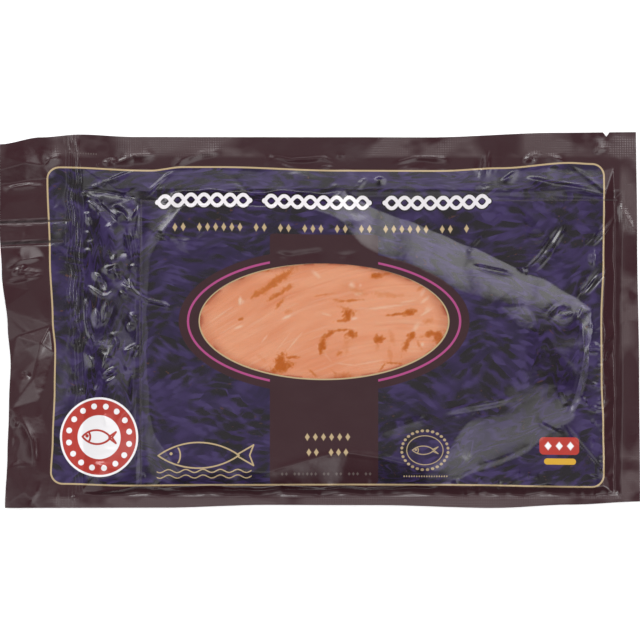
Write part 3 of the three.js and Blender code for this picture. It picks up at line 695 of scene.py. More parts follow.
class Ink:
    """A number that changes over the film, worked out by Math nodes from plain arithmetic."""

    def __init__(self, tree, socket):
        self.tree = tree
        self.socket = socket

    def math(self, operation, *others, clamp=False):
        node = self.tree.nodes.new("ShaderNodeMath")
        node.operation = operation
        node.use_clamp = clamp
        for socket, value in zip(node.inputs, (self, *others)):
            if isinstance(value, Ink):
                self.tree.links.new(value.socket, socket)
            else:
                socket.default_value = value
        return Ink(self.tree, node.outputs[0])

    def __add__(self, other):
        return self.math("ADD", other)

    def __sub__(self, other):
        return self.math("SUBTRACT", other)

    def __mul__(self, other):
        return self.math("MULTIPLY", other)

    def __truediv__(self, other):
        return self.math("DIVIDE", other)

    def __abs__(self):
        return self.math("ABSOLUTE")

    def lesser(self, other):
        return self.math("MINIMUM", other)

    def greater(self, other):
        return self.math("MAXIMUM", other)

    def hypot(self, other):
        return (self * self + other * other).math("SQRT")

    def below(self, edge, soft=0.14):
        """1 where the value is below the edge and 0 above it, with a soft step between."""
        return self.math("MULTIPLY_ADD", -1 / soft, edge / soft + 0.5, clamp=True)

    def above(self, edge, soft=0.14):
        return self.math("MULTIPLY_ADD", 1 / soft, 0.5 - edge / soft, clamp=True)

    def between(self, low, high, soft=0.14):
        return abs(self - (low + high) / 2).below((high - low) / 2, soft)


def stored(tree, name, output):
    """What a mesh keeps under this name."""
    node = tree.nodes.new("ShaderNodeAttribute")
    node.attribute_name = name
    return node.outputs[output]


def flat_parts(tree, place):
    """The X and Y of a place."""
    parts = tree.nodes.new("ShaderNodeSeparateXYZ")
    tree.links.new(place, parts.inputs[0])
    return Ink(tree, parts.outputs[0]), Ink(tree, parts.outputs[1])


def new_material(name):
    material = bpy.data.materials.new(name)
    material.use_nodes = True
    return material, material.node_tree


def set_sockets(node, **values):
    for name, value in values.items():
        node.inputs[name.replace("_", " ").title()].default_value = value


def laid_out(tree, place, scale, offset, turn):
    """A place that is turned, moved and scaled along each of its axes, for a pattern to be read at."""
    mapping = tree.nodes.new("ShaderNodeMapping")
    mapping.vector_type = "TEXTURE"
    mapping.inputs["Location"].default_value = offset
    mapping.inputs["Rotation"].default_value = (0, 0, turn)
    mapping.inputs["Scale"].default_value = scale
    tree.links.new(place, mapping.inputs["Vector"])
    return mapping.outputs[0]


def noise(tree, place, scale, detail=2.0, roughness=0.5, offset=(0, 0, 0), turn=0.0):
    node = tree.nodes.new("ShaderNodeTexNoise")
    set_sockets(node, scale=1.0, detail=detail, roughness=roughness)
    tree.links.new(laid_out(tree, place, scale, offset, turn), node.inputs["Vector"])
    return Ink(tree, node.outputs["Fac"])


def dabs(tree, place, kind, turn):
    """Dabs of a brush: the distance from the nearest one, in dab lengths, and its random tone."""
    node = tree.nodes.new("ShaderNodeTexVoronoi")
    node.voronoi_dimensions = "2D"
    set_sockets(node, scale=1.0)
    spread = laid_out(tree, place, kind["size"], kind["offset"], math.radians(turn))
    tree.links.new(spread, node.inputs["Vector"])
    return Ink(tree, node.outputs["Distance"]), Ink(tree, node.outputs["Color"])


def printed_over(tree, under, ink, mask):
    """One ink laid over another where the mask is 1. Each is a colour or a colour socket."""
    mix = tree.nodes.new("ShaderNodeMix")
    mix.data_type = "RGBA"
    tree.links.new(mask.socket, mix.inputs["Factor"])
    for socket, colour in ((mix.inputs[6], under), (mix.inputs[7], ink)):
        if isinstance(colour, tuple):
            socket.default_value = (*colour, 1)
        else:
            tree.links.new(colour, socket)
    return mix.outputs[2]


def layered(tree, colour, layers):
    """A colour with layers over it, each an ink and its mask."""
    for ink, mask in layers:
        colour = printed_over(tree, colour, ink, mask)
    return colour


plum = (0.029, 0.0078, 0.0112)
indigo = (0.021, 0.010, 0.052)
deep_indigo = (0.012, 0.0062, 0.028)
violet = (0.037, 0.0225, 0.085)
olive_black = (0.0075, 0.0055, 0.005)
brown_fleck = (0.07, 0.026, 0.016)
gold = (0.41, 0.305, 0.17)
title_white = (0.66, 0.63, 0.655)
pink = (0.34, 0.047, 0.175)
signal_red = (0.38, 0.03, 0.021)
corn_yellow = (0.55, 0.31, 0.025)
paper_white = (0.76, 0.745, 0.76)
faint_grey = (0.16, 0.13, 0.12)
# Painted sheen for the pressed weld.
painted_weld_sheen = (0.080, 0.053, 0.056)
# Painted shade for the pleats.
pleat_painted_shade = (0.008, 0.003, 0.004)

gold_line = 0.3
window_ring = {"x": 1.45, "y": -0.45, "gold": (44.9, 21.1), "pink": (48.7, 23.15), "plum": (52.1, 26.1)}
pink_line = 0.4
frame_corner = 4.2
plum_band = {"half_width": 19.4, "bottom": -58.9, "top": 31.3, "corner": 1.2}


def rounded_box(x, y, left, right, bottom, top, radius):
    """The distance outside a box with rounded corners, negative within it."""
    over_x = abs(x - (left + right) / 2) - ((right - left) / 2 - radius)
    over_y = abs(y - (bottom + top) / 2) - ((top - bottom) / 2 - radius)
    outside = over_x.greater(0).hypot(over_y.greater(0))
    return outside + over_x.greater(over_y).lesser(0) - radius


def oval(x, y, centre, reach):
    """The distance outside an oval, near enough along its edge."""
    across = (x - centre[0]) / reach[0]
    up = (y - centre[1]) / reach[1]
    level = across.hypot(up)
    return (level - 1) * level / (across / reach[0]).hypot(up / reach[1])


def stroke(x, y, start, end):
    """The distance from a straight stroke of the pen."""
    run = (end[0] - start[0], end[1] - start[1])
    length_squared = run[0] ** 2 + run[1] ** 2
    from_x, from_y = x - start[0], y - start[1]
    share = (from_x * run[0] + from_y * run[1]).math("MULTIPLY", 1 / length_squared, clamp=True)
    return (from_x - share * run[0]).hypot(from_y - share * run[1])


def fish_outline(x, y, half_length, half_height):
    """The distance from the pen line of a plain fish that faces left: a pointed body and a tail."""
    radius = (half_length ** 2 + half_height ** 2) / (2 * half_height)
    body = abs(x.hypot(abs(y) + (radius - half_height)) - radius)
    body = body.greater(abs(x) - half_length)
    tail_root, tail_end = half_length - 0.6, half_length * 1.36
    upper = stroke(x, abs(y), (tail_root, 0.3), (tail_end, half_height * 0.8))
    close = stroke(x, abs(y), (tail_end, half_height * 0.8), (tail_end - 1.4, 0))
    gill_radius = half_height * 1.1
    gill = abs(x.math("ADD", half_length * 0.45 + gill_radius).hypot(y) - gill_radius)
    gill = gill.greater(abs(y) - half_height * 0.55).greater(x * -1 - half_length * 0.6)
    eye = abs((x + half_length * 0.68).hypot(y - half_height * 0.14) - 0.28)
    return body.lesser(upper).lesser(close).lesser(gill).lesser(eye)


def lozenge_row(x, y, centre, half_run, pitch, half_height, half_width, gaps):
    """A row of small upright lozenges. Some are left out, so that they fall into uneven groups."""
    cell = (x - (centre[0] - half_run)) / pitch
    place = cell.math("FLOOR")
    in_cell = abs(cell - place - 0.5) * (pitch / half_width)
    lozenge = (in_cell + abs(y - centre[1]) / half_height).below(1, 0.35)
    kept = (place * 1.9 + 0.7).math("SINE").above(-1 + gaps, 0.01)
    return lozenge * abs(x - centre[0]).below(half_run) * kept


def ripple(x, y, rise, period):
    """How far a place is from the pen line of a ripple."""
    turn = x * (2 * math.pi / period)
    slope = turn.math("COSINE") * (rise * 2 * math.pi / period)
    return abs(y - turn.math("SINE") * rise) / (slope * slope + 1).math("SQRT")


title = {"y": 43.1, "rise": 2.0, "period": 9.8, "half_width": 0.66, "outline": 0.42}
title_groups = [(-57.9, -25.2), (-19.8, 17.6), (23.4, 60.4)]


def braid(x, y, start, end):
    """The distance from two ripples that cross and close at both ends."""
    period = (end - start) * 2 / round((end - start) * 2 / title["period"])
    up = ripple(x - start, y - title["y"], title["rise"], period)
    down = ripple(x - start, y - title["y"], -title["rise"], period)
    beyond = abs(x - (start + end) / 2) - (end - start) / 2
    end_knot = beyond.hypot(y - title["y"]) - 0.3
    return up.lesser(down).greater(beyond * 6 + title["half_width"]).lesser(end_knot)


roundel = {
    "centre": (-79.6, -42.05), "radius": 14.3, "white_rim": 0.75, "inner": 7.9,
    "dots": 16, "dot_ring": 11.2, "dot": 1.05,
}
pill = {"left": 78.6, "right": 92.8, "bottom": -47.9, "top": -41.7, "corner": 1.5}
pill_bar = {"left": 80.2, "right": 91.6, "bottom": -51.4, "top": -49.2, "corner": 1.1}
emblem = {"centre": (37.55, -46.7), "reach": (8.3, 7.0), "inner": (6.5, 5.2), "beads": 28}
fish = {"x": -43.5, "y": -48.5, "half_length": 14.5, "half_height": 4.6, "pen": 0.26}
ripples = {"below_fish": (5.6, 7.6), "rise": 0.55, "period": 6.2, "pen": 0.2, "from": -15, "to": 19}
# Rows of lozenges: the centre, half its run, the pitch, a lozenge's half height and half width,
# and the share that is left out.
gold_rows = [
    ((0.3, 33.4), 53.6, 2.9, 1.5, 0.85, 0.24), ((2.7, -42.0), 8.7, 2.9, 1.35, 0.85, 0),
    ((2.7, -47.5), 8.0, 2.65, 1.35, 0.85, 0.2), ((37.7, -56.1), 8.0, 0.9, 0.4, 0.3, 0),
]
faint_rows = [((2.2, -55.3), 16.5, 1.5, 0.65, 0.5, 0.3), ((-82.7, 60.2), 3.5, 0.9, 0.4, 0.3, 0)]
pill_row = (6.0, 4.0, 1.5, 1.25, 0)


# Two kinds of brush dab: the size, how it is moved, and its turn where strokes rise and where they fall.
indigo_dabs = {"size": (6.6, 2.1, 1), "offset": (0, 0, 0), "turns": (24, -16)}
dark_dabs = {"size": (7.6, 2.5, 1), "offset": (3, 7, 0), "turns": (28, -12)}


def brushed_artwork(tree, place):
    """Soft dabs of the brush in indigo and violet, among olive-black ones and brown flecks."""
    x, y = flat_parts(tree, place)
    warp_x = noise(tree, place, (40, 34, 1), detail=1, offset=(13, 4, 0)) - 0.5
    warp_y = noise(tree, place, (46, 36, 1), detail=1, offset=(-31, 57, 2)) - 0.5
    join = tree.nodes.new("ShaderNodeCombineXYZ")
    tree.links.new((x + warp_x * 16).socket, join.inputs[0])
    tree.links.new((y + warp_y * 22).socket, join.inputs[1])
    bent = join.outputs[0]
    ground = noise(tree, bent, (14, 7, 1), detail=3, turn=math.radians(20))
    clumps = noise(tree, place, (20, 15, 1), detail=2, offset=(17, 33, 3))
    ragged = (noise(tree, bent, (2.6, 1.3, 1), detail=2) - 0.5) * 0.7
    rising = noise(tree, place, (27, 21, 1), detail=1, offset=(71, -9, 5)).above(0.5, 0.08)
    flows = (rising, abs(rising - 1))
    layers = [(indigo, ground.above(0.44, 0.16)), (violet, ground.above(0.58, 0.18) * 0.7)]
    for turn, here in zip(indigo_dabs["turns"], flows):
        distance, tone = dabs(tree, bent, indigo_dabs, turn)
        body = (distance + ragged).below(0.44, 0.3) * here
        layers.append((deep_indigo, body * tone.below(0.42, 0.06) * 0.8))
        layers.append((violet, body * tone.above(0.54, 0.06) * 0.9))
    for turn, here in zip(dark_dabs["turns"], flows):
        distance, tone = dabs(tree, bent, dark_dabs, turn)
        body = (distance + ragged).below(0.5, 0.34) * here
        layers.append((olive_black, body * (tone + (clumps - 0.5) * 3.2).above(0.38, 0.12) * 0.9))
    flecks = noise(tree, bent, (2.4, 1.2, 1), detail=2, offset=(91, 12, 6)).above(0.7, 0.08)
    layers.append((brown_fleck, flecks * clumps.above(0.5, 0.1) * 0.8))
    return layered(tree, deep_indigo, layers)


def panel_layers(x, y, artwork):
    """The brushed panel in its gold frame, and the plum band and rings round the window."""
    frame_distance = rounded_box(x, y, *frame_flat.values(), frame_corner)
    centre = (window_ring["x"], window_ring["y"])
    half_width, *rest = plum_band.values()
    band_distance = rounded_box(x, y, centre[0] - half_width, centre[0] + half_width, *rest)
    arcs = abs(oval(x, y, centre, window_ring["pink"])).below(pink_line)
    return [
        (artwork, frame_distance.below(0)),
        (plum, band_distance.lesser(oval(x, y, centre, window_ring["plum"])).below(0)),
        (gold, abs(frame_distance).below(gold_line)),
        (pink, arcs * abs(x - centre[0]).above(half_width)),
        (gold, oval(x, y, centre, window_ring["gold"]).below(0)),
    ]


def title_layers(x, y):
    """The white braids in their dark outline."""
    words = functools.reduce(Ink.lesser, [braid(x, y, start, end) for start, end in title_groups])
    return [
        (olive_black, words.below(title["half_width"] + title["outline"], 0.4)),
        (title_white, words.below(title["half_width"])),
    ]


def lozenge_rows(x, y, rows):
    return functools.reduce(Ink.greater, [lozenge_row(x, y, *row) for row in rows])


def small_gold(x, y):
    """The rows of lozenges, and the fish over its ripples."""
    marks = lozenge_rows(x, y, gold_rows)
    body = fish_outline(x - fish["x"], y - fish["y"], fish["half_length"], fish["half_height"])
    marks = marks.greater(body.below(fish["pen"]))
    for drop in ripples["below_fish"]:
        swell = ripple(x, y - (fish["y"] - drop), ripples["rise"], ripples["period"]).below(ripples["pen"])
        marks = marks.greater(swell * x.between(fish["x"] + ripples["from"], fish["x"] + ripples["to"]))
    return marks


def emblem_marks(x, y):
    """A beaded oval round a plain one, with a small fish in it."""
    x, y = x - emblem["centre"][0], y - emblem["centre"][1]
    round_angle = (y / emblem["reach"][1]).math("ARCTAN2", x / emblem["reach"][0])
    bead_phase = (round_angle * (emblem["beads"] / (2 * math.pi))).math("FRACT") - 0.5
    beads = (oval(x, y, (0, 0), emblem["reach"]) / 0.5).hypot(bead_phase * 3.0).below(1, 0.3)
    inner = abs(oval(x, y, (0, 0), emblem["inner"])).below(0.16)
    return beads.greater(inner).greater(fish_outline(x + 0.6, y, 3.9, 1.5).below(0.17))


def roundel_layers(x, y):
    """A red ring of white dots with a fish in its middle."""
    x, y = x - roundel["centre"][0], y - roundel["centre"][1]
    off_centre = x.hypot(y)
    turn = y.math("ARCTAN2", x) * (roundel["dots"] / (2 * math.pi))
    along_ring = (turn.math("FRACT") - 0.5) * (2 * math.pi * roundel["dot_ring"] / roundel["dots"])
    dots = along_ring.hypot(off_centre - roundel["dot_ring"]).below(roundel["dot"])
    return [
        (paper_white, off_centre.below(roundel["radius"])),
        (signal_red, off_centre.below(roundel["radius"] - roundel["white_rim"])),
        (paper_white, off_centre.below(roundel["inner"]).greater(dots)),
        (signal_red, fish_outline(x + 0.9, y, 5.2, 2.5).below(0.36)),
    ]


def pill_layers(x, y):
    """A red plate with three lozenges, over a yellow bar."""
    middle = ((pill["left"] + pill["right"]) / 2, (pill["bottom"] + pill["top"]) / 2)
    return [
        (signal_red, rounded_box(x, y, *pill.values()).below(0)),
        (corn_yellow, rounded_box(x, y, *pill_bar.values()).below(0)),
        (paper_white, lozenge_row(x, y, middle, *pill_row)),
    ]


def front_print(tree):
    """The whole print as one colour socket, laid up ink by ink from the plum ground."""
    place = stored(tree, "print_place", "Vector")
    x, y = flat_parts(tree, place)
    return layered(tree, plum, [
        *panel_layers(x, y, brushed_artwork(tree, place)), *title_layers(x, y),
        (gold, small_gold(x, y)), (gold, emblem_marks(x, y) * 0.85),
        *roundel_layers(x, y), *pill_layers(x, y), (faint_grey, lozenge_rows(x, y, faint_rows) * 0.5),
    ])


def film_gloss_group():
    """What all the films share: fine creasing under tension, and gloss that is not quite even."""
    group = bpy.data.node_groups.new("film_gloss", "ShaderNodeTree")
    group.interface.new_socket("Place", in_out="INPUT", socket_type="NodeSocketVector")
    for name in ("Creasing", "Base Roughness"):
        group.interface.new_socket(name, in_out="INPUT", socket_type="NodeSocketFloat")
    for name in ("Height", "Roughness"):
        group.interface.new_socket(name, in_out="OUTPUT", socket_type="NodeSocketFloat")
    inside = group.nodes.new("NodeGroupInput")
    outside = group.nodes.new("NodeGroupOutput")
    place = inside.outputs["Place"]
    broad = noise(group, place, (7, 5, 6), detail=2, roughness=0.5)
    fine = noise(group, place, (1.9, 1.4, 2), detail=2, roughness=0.55, offset=(3, 8, 1))
    height = (broad * 0.5 + fine * 0.06) * Ink(group, inside.outputs["Creasing"])
    mottle = noise(group, place, (11, 9, 9), detail=3, roughness=0.6, offset=(20, 1, 7))
    roughness = (mottle - 0.5) * 0.16 + Ink(group, inside.outputs["Base Roughness"])
    group.links.new(height.socket, outside.inputs["Height"])
    group.links.new(roughness.socket, outside.inputs["Roughness"])
    return group


film_gloss = film_gloss_group()


# Where the weld bars pressed hard, and where they hardly touched: x, y and the reach along each. Where they
# pressed, the rim is embossed and, on the front film, lightened by a painted sheen.
emboss_and_sheen_patches = [
    (-52, 66, 22, 7), (77, 65, 6, 8), (40, -65, 46, 5), (-40, -66, 26, 4), (109, 42, 4, 12), (110, -6, 3, 8),
]
quiet_patches = [(-4, 64, 22, 9), (64, 65, 8, 8), (111, -29, 6, 19), (111, 24, 6, 8), (-105, 0, 14, 80)]
unwelded = {"left": -101, "right": 107.2, "bottom": -63.1, "top": 58, "corner": 2}
embossing = {"pitch": 0.86, "height": 0.010}


def weld_pattern(tree, place):
    """Where the weld bars have left their fine pattern in the rim, and the pattern's height in mm."""
    x, y = flat_parts(tree, place)
    beyond = rounded_box(x, y, *unwelded.values())
    patches = noise(tree, place, (15, 9, 1), detail=2, offset=(8, 3, 0)).above(0.48, 0.16)
    for pressed_x, pressed_y, reach_x, reach_y in emboss_and_sheen_patches:
        patches = patches.greater(oval(x, y, (pressed_x, pressed_y), (reach_x, reach_y)).below(0, 5))
    for quiet_x, quiet_y, reach_x, reach_y in quiet_patches:
        patches = patches * oval(x, y, (quiet_x, quiet_y), (reach_x, reach_y)).above(0, 4)
    welded = beyond.above(0.6, 1.2) * patches
    turns = 2 * math.pi / embossing["pitch"]
    dots = (x * turns).math("SINE") + (y * turns).math("SINE")
    return welded, dots * welded * embossing["height"]


def film_shader(tree, creasing, base_roughness):
    """The film's gloss: its shader, its group of fine creases, and the place they are read at."""
    shader = tree.nodes["Principled BSDF"]
    coordinates = tree.nodes.new("ShaderNodeTexCoord")
    in_mm = tree.nodes.new("ShaderNodeVectorMath")
    in_mm.operation = "SCALE"
    in_mm.inputs["Scale"].default_value = 1000
    tree.links.new(coordinates.outputs["Object"], in_mm.inputs[0])
    gloss = tree.nodes.new("ShaderNodeGroup")
    gloss.node_tree = film_gloss
    set_sockets(gloss, creasing=creasing, base_roughness=base_roughness)
    tree.links.new(in_mm.outputs[0], gloss.inputs["Place"])
    tree.links.new(gloss.outputs["Roughness"], shader.inputs["Roughness"])
    return shader, gloss, in_mm.outputs[0]


def bump_from(tree, shader, height):
    """Turns heights in millimetres into the shader's normal."""
    bump = tree.nodes.new("ShaderNodeBump")
    set_sockets(bump, strength=1.0, distance=0.001)
    tree.links.new(height.socket, bump.inputs["Height"])
    tree.links.new(bump.outputs["Normal"], shader.inputs["Normal"])


# Painted shade: narrow dark lines where the film lies folded on itself or dips beside the card, each with its
# half width and run.
shaded_pleat_lines = [
    (0.4, (-120, 34.8), (-98.5, 35.5), (-89.5, 35.9)), (0.5, (-120, 27.0), (-104, 27.8), (-92.5, 28.3)),
    (0.15, (-64.2, 42.8), (-59, 42.7)), (0.15, (62.5, 42.8), (106.5, 43.1)),
    (0.15, (-64.1, 43), (-64.5, 0), (-64.2, -58.6)),
]


def pleat_shade_mask(tree, place):
    """1 where painted shade darkens the depth of a pleat, and 0 away from it."""
    x, y = flat_parts(tree, place)
    return functools.reduce(Ink.greater, [
        stroke(x, y, start, end).below(half_width, 0.35)
        for half_width, *points in shaded_pleat_lines for start, end in zip(points, points[1:])
    ])


def printed_film_material():
    material, tree = new_material("front_laminate")
    shader, gloss, place = film_shader(tree, 0.2, 0.15)
    # Painted sheen: the front film's colour is lighter where the weld is pressed, besides the real embossed
    # bump.
    welded, weld_height = weld_pattern(tree, place)
    # Painted shade: deep is 1 in the pleats, where the colour is darkened (and the film made rougher).
    deep = pleat_shade_mask(tree, place)
    colour = layered(tree, front_print(tree), [(painted_weld_sheen, welded * 0.75), (pleat_painted_shade, deep * 0.85)])
    tree.links.new(colour, shader.inputs["Base Color"])
    tree.links.new((deep * 0.6 + Ink(tree, gloss.outputs["Roughness"])).socket, shader.inputs["Roughness"])
    bump_from(tree, shader, Ink(tree, gloss.outputs["Height"]) + weld_height)
    return material


store_print_place(front_film.data)
finish_piece(front_film, printed_film_material())
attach(front_film, "root")
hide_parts("pouch")


# ---- Back film -----------------------------------------------------------------------
# The same laminate in plain plum. It lies flat on the table under the card, and its rim is
# welded to the front film's.

back_film = sheet_solid(
    "back_film", steps(film_columns)[::3], steps(film_rows)[::2], pouch_point, weld_surface, far_below
)
above_back = sheet_solid("above_back", *coarse_grid, plain_point, back_surface, far_above)
cut_to_shape(back_film, [(above_back, "INTERSECT"), (notch_prism(), "DIFFERENCE")])


pale_plum = (0.045, 0.021, 0.026)


def plain_film_material():
    material, tree = new_material("back_laminate")
    shader, gloss, place = film_shader(tree, 0.3, 0.2)
    blotches = noise(tree, place, (30, 22, 9), detail=3)
    colour = printed_over(tree, plum, pale_plum, blotches.above(0.5, 0.3))
    tree.links.new(colour, shader.inputs["Base Color"])
    bump_from(tree, shader, Ink(tree, gloss.outputs["Height"]) + weld_pattern(tree, place)[1])
    return material


finish_piece(back_film, plain_film_material())
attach(back_film, "root")
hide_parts("pouch")


# ---- Clear window film ---------------------------------------------------------------
# The same front film where it has no print. The vacuum holds it against the fish.

window_film_thickness = 0.12
window_film_gap = 0.01
window_grid_reach = (46, 22)


def window_grid(*grid_steps):
    """Columns and rows over the window and a little past it."""
    places = zip((window["x"], window["y"]), window_grid_reach, grid_steps)
    return [steps([(middle - reach, middle + reach, step)]) for middle, reach, step in places]


def window_underside(x, y):
    return front_surface(x, y) - window_film_thickness


film_grid = window_grid(0.9, 0.7)
window_film = sheet_solid("window_film", *film_grid, plain_point, front_surface, far_below)
above_underside = sheet_solid("above_underside", *film_grid, plain_point, window_underside, far_above)
cut_to_shape(window_film, [(above_underside, "INTERSECT"), (window_prism(window_film_gap), "INTERSECT")])


def clear_film_material():
    material, tree = new_material("clear_laminate")
    shader, gloss, place = film_shader(tree, 0.3, 0.12)
    set_sockets(shader, base_color=(0, 0, 0, 1))
    bump_from(tree, shader, Ink(tree, gloss.outputs["Height"]))
    shader.inputs["Alpha"].default_value = 0.12
    return material


finish_piece(window_film, clear_film_material())
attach(window_film, "root")
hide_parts("pouch")


# ---- Salmon --------------------------------------------------------------------------
# The top slice of cold-smoked fish, cut on the slant and pressed flat by the film. Its flakes
# run up to the right and level out there, with brown-orange smoke stains in the seams.

slice_step = 0.36
slice_reach_under_print = 0.35
slice_gap = 0.05
slice_floor = 1.0
flake = {"pitch": 6.5, "depth": 0.12, "rise": 0.33, "bend": 0.005, "groove_share": 0.16}

# Stains: x, y, half length, half width, turn in degrees, strength.
stains = [
    (-17.8, 12.4, 6.0, 1.1, 34, 0.75), (-13.6, 15.4, 4.2, 1.2, 32, 0.7), (-21.5, 9.6, 3.4, 0.7, 33, 0.7),
    (-15.4, 8.8, 3.6, 0.7, 30, 0.8), (-12.0, 11.2, 2.8, 0.7, 28, 0.6), (-14.4, 5.8, 1.9, 0.6, 52, 0.7),
    (-11.5, 3.0, 1.0, 0.7, 20, 0.4), (-21.0, 17.6, 3.4, 0.4, -4, 0.6), (-16.6, 19.6, 2.4, 0.45, 40, 0.7),
    (9.9, 1.9, 1.5, 1.6, 10, 1.0), (8.0, -0.2, 1.8, 0.5, 8, 0.8), (9.4, 4.0, 3.0, 0.5, -16, 0.5),
    (31.8, 2.7, 2.0, 0.9, 8, 1.0), (27.8, 2.1, 4.2, 0.35, 6, 0.9), (20.4, 15.9, 2.2, 0.8, 2, 1.0),
    (24.2, 16.6, 2.4, 0.5, 14, 0.6), (0.9, -8.8, 1.1, 2.9, -10, 1.0), (3.4, -5.2, 2.2, 0.6, 36, 0.9),
    (7.4, -3.7, 3.0, 0.4, 4, 0.8), (11.2, -5.2, 1.6, 1.3, -12, 1.0), (9.4, -9.2, 0.9, 2.2, -8, 0.3),
    (6.9, -12.0, 1.2, 0.7, 30, 0.6), (-14.2, -14.6, 2.8, 1.6, 62, 1.0), (-13.6, -16.8, 3.2, 1.5, 26, 1.0),
    (-10.4, -13.4, 2.2, 0.5, 4, 0.9), (20.9, -7.0, 1.2, 1.3, 0, 1.0), (22.8, -6.6, 1.2, 0.4, 6, 0.8),
    (20.8, -9.2, 0.8, 1.6, -4, 0.35), (25.6, -6.0, 0.8, 2.0, 16, 0.35), (32.6, -5.6, 1.2, 1.0, 0, 1.0),
    (31.0, -8.8, 0.9, 2.6, -22, 0.9), (35.6, -9.2, 0.5, 1.6, 30, 0.5), (40.2, -5.0, 3.4, 0.9, 6, 0.9),
    (42.6, -6.8, 1.6, 2.0, 40, 1.0), (38.6, -12.8, 4.6, 0.9, 34, 0.6), (26.0, -15.4, 3.6, 0.35, -4, 0.7),
    (22.4, -16.8, 2.4, 0.4, 54, 0.6), (25.0, -12.2, 0.8, 2.2, 4, 0.35), (10.4, 6.9, 3.4, 0.35, 4, 0.7),
    (6.0, 7.2, 1.4, 0.4, -8, 0.5), (1.4, 9.0, 3.0, 0.3, 10, 0.5), (13.4, 10.4, 3.6, 0.8, -20, 0.4),
    (-28.4, 0.4, 0.9, 0.4, 18, 0.8), (-20.6, -14.0, 2.4, 0.5, -40, 0.2), (8.4, -20.0, 2.8, 1.2, 0, 0.5),
    (-2.6, -19.0, 1.6, 0.35, -44, 0.6), (4.6, -18.4, 1.6, 0.4, -36, 0.5), (38.6, -0.4, 1.8, 0.9, 26, 0.4),
    (36.0, 11.4, 1.6, 0.5, 34, 0.4), (24.4, 9.0, 5.4, 0.8, -4, 0.35), (-31.0, -14.6, 2.0, 0.5, -30, 0.3),
]
# Pale specks of fat and torn fibre, listed the same way.
pale_specks = [
    (-28.6, 7.0, 0.5, 1.2, 0, 1.0), (-27.8, 6.6, 0.6, 0.6, 0, 0.6), (-12.0, 1.0, 1.6, 0.4, 24, 0.9),
    (-29.2, -2.6, 1.4, 0.3, 20, 0.8), (-1.4, 16.4, 1.6, 0.6, -40, 0.7), (11.4, 12.0, 1.0, 1.1, 0, 0.8),
    (14.4, 12.4, 0.4, 0.6, 0, 0.6), (14.0, 9.6, 1.3, 0.6, 0, 0.9), (12.2, 0.5, 1.1, 0.4, 8, 0.9),
    (2.4, 2.0, 1.4, 0.3, -14, 0.6), (-9.0, -7.6, 4.4, 0.2, 50, 0.6), (-13.0, -7.6, 3.6, 0.16, 52, 0.4),
    (1.0, -11.4, 3.2, 0.22, -48, 0.6), (26.0, 5.0, 6.0, 0.3, 6, 0.7), (20.0, 4.2, 5.0, 0.3, 2, 0.6),
    (37.6, 7.2, 1.6, 0.5, 40, 0.7), (36.6, 9.6, 1.2, 0.5, 50, 0.6), (38.0, 2.8, 2.2, 0.35, 34, 0.7),
    (34.4, -2.4, 2.0, 0.7, 50, 0.6), (38.6, 3.8, 1.0, 0.8, 60, 0.5), (36.6, -8.8, 0.5, 0.6, 0, 0.9),
    (17.6, -15.2, 5.0, 0.3, 10, 0.6), (10.2, -16.0, 3.4, 0.25, -8, 0.5), (-36.0, 1.6, 4.4, 0.25, 34, 0.5),
    (-33.0, -3.4, 3.6, 0.2, 32, 0.5), (-19.8, -6.6, 1.6, 0.25, 50, 0.6), (20.4, 17.6, 1.4, 0.8, -10, 0.5),
    (31.4, 6.6, 2.4, 0.3, 10, 0.5),
]


def soft_noise(x, y, seed):
    """Smooth noise from 0 to 1 with one random value at each whole-numbered place."""
    i, j = np.floor(x).astype(np.int64), np.floor(y).astype(np.int64)

    def value(di, dj):
        mixed = ((i + di) * 374761393 + (j + dj) * 668265263 + seed * 974634777) & 0x7FFFFFFF
        mixed = ((mixed ^ (mixed >> 13)) * 1274126177) & 0x7FFFFFFF
        return ((mixed ^ (mixed >> 16)) & 0xFFFF) / 0xFFFF

    u, v = ease(x - i), ease(y - j)
    low = value(0, 0) + (value(1, 0) - value(0, 0)) * u
    high = value(0, 1) + (value(1, 1) - value(0, 1)) * u
    return low + (high - low) * v


def smudges(marks, x, y, ragged):
    """How strongly ragged soft-edged oval marks colour each place, from 0 to 1."""
    strongest = np.zeros_like(x)
    rough = (soft_noise(x * 0.9, y * 0.9, 5) + soft_noise(x * 2.1, y * 2.1, 6) - 1) * ragged
    for mark_x, mark_y, half_length, half_width, turn, strength in marks:
        cos, sin = math.cos(math.radians(turn)), math.sin(math.radians(turn))
        lengthways = ((x - mark_x) * cos + (y - mark_y) * sin) / half_length
        sideways = ((y - mark_y) * cos - (x - mark_x) * sin) / half_width
        level = np.hypot(lengthways, sideways) + rough
        strongest = np.maximum(strongest, strength * ease((1.85 - level) / 1.5))
    return strongest


def flake_row(x, y):
    """Which flake a place is in, counted across them. Whole numbers are the seams between."""
    wander = (soft_noise(x / 24, y / 12, 1) - 0.5) * 0.35
    return (y - flake["rise"] * x + flake["bend"] * x * x) / flake["pitch"] + wander


def seam(x, y):
    """1 in the middle of a seam between flakes and 0 away from it, faint in places."""
    row = flake_row(x, y)
    from_seam = np.abs(row - np.rint(row)) * 2
    strength = ease((soft_noise(x / 8, row * 3.1, 2) - 0.3) / 0.5)
    return (1 - ease(from_seam / flake["groove_share"])) * strength


def along_grain(x, y, length, width, seed):
    """Noise stretched along the flakes."""
    row = flake_row(x, y) * flake["pitch"]
    return soft_noise(x / length, row / width, seed)


# How far the fibres, stains and specks stand out or in, and how far the fish lies below its level.
fish_relief = {"coarse": 0.06, "fine": 0.04, "stain": 0.1, "speck": 0.06, "share_sunk": 0.6, "low": 0.06}


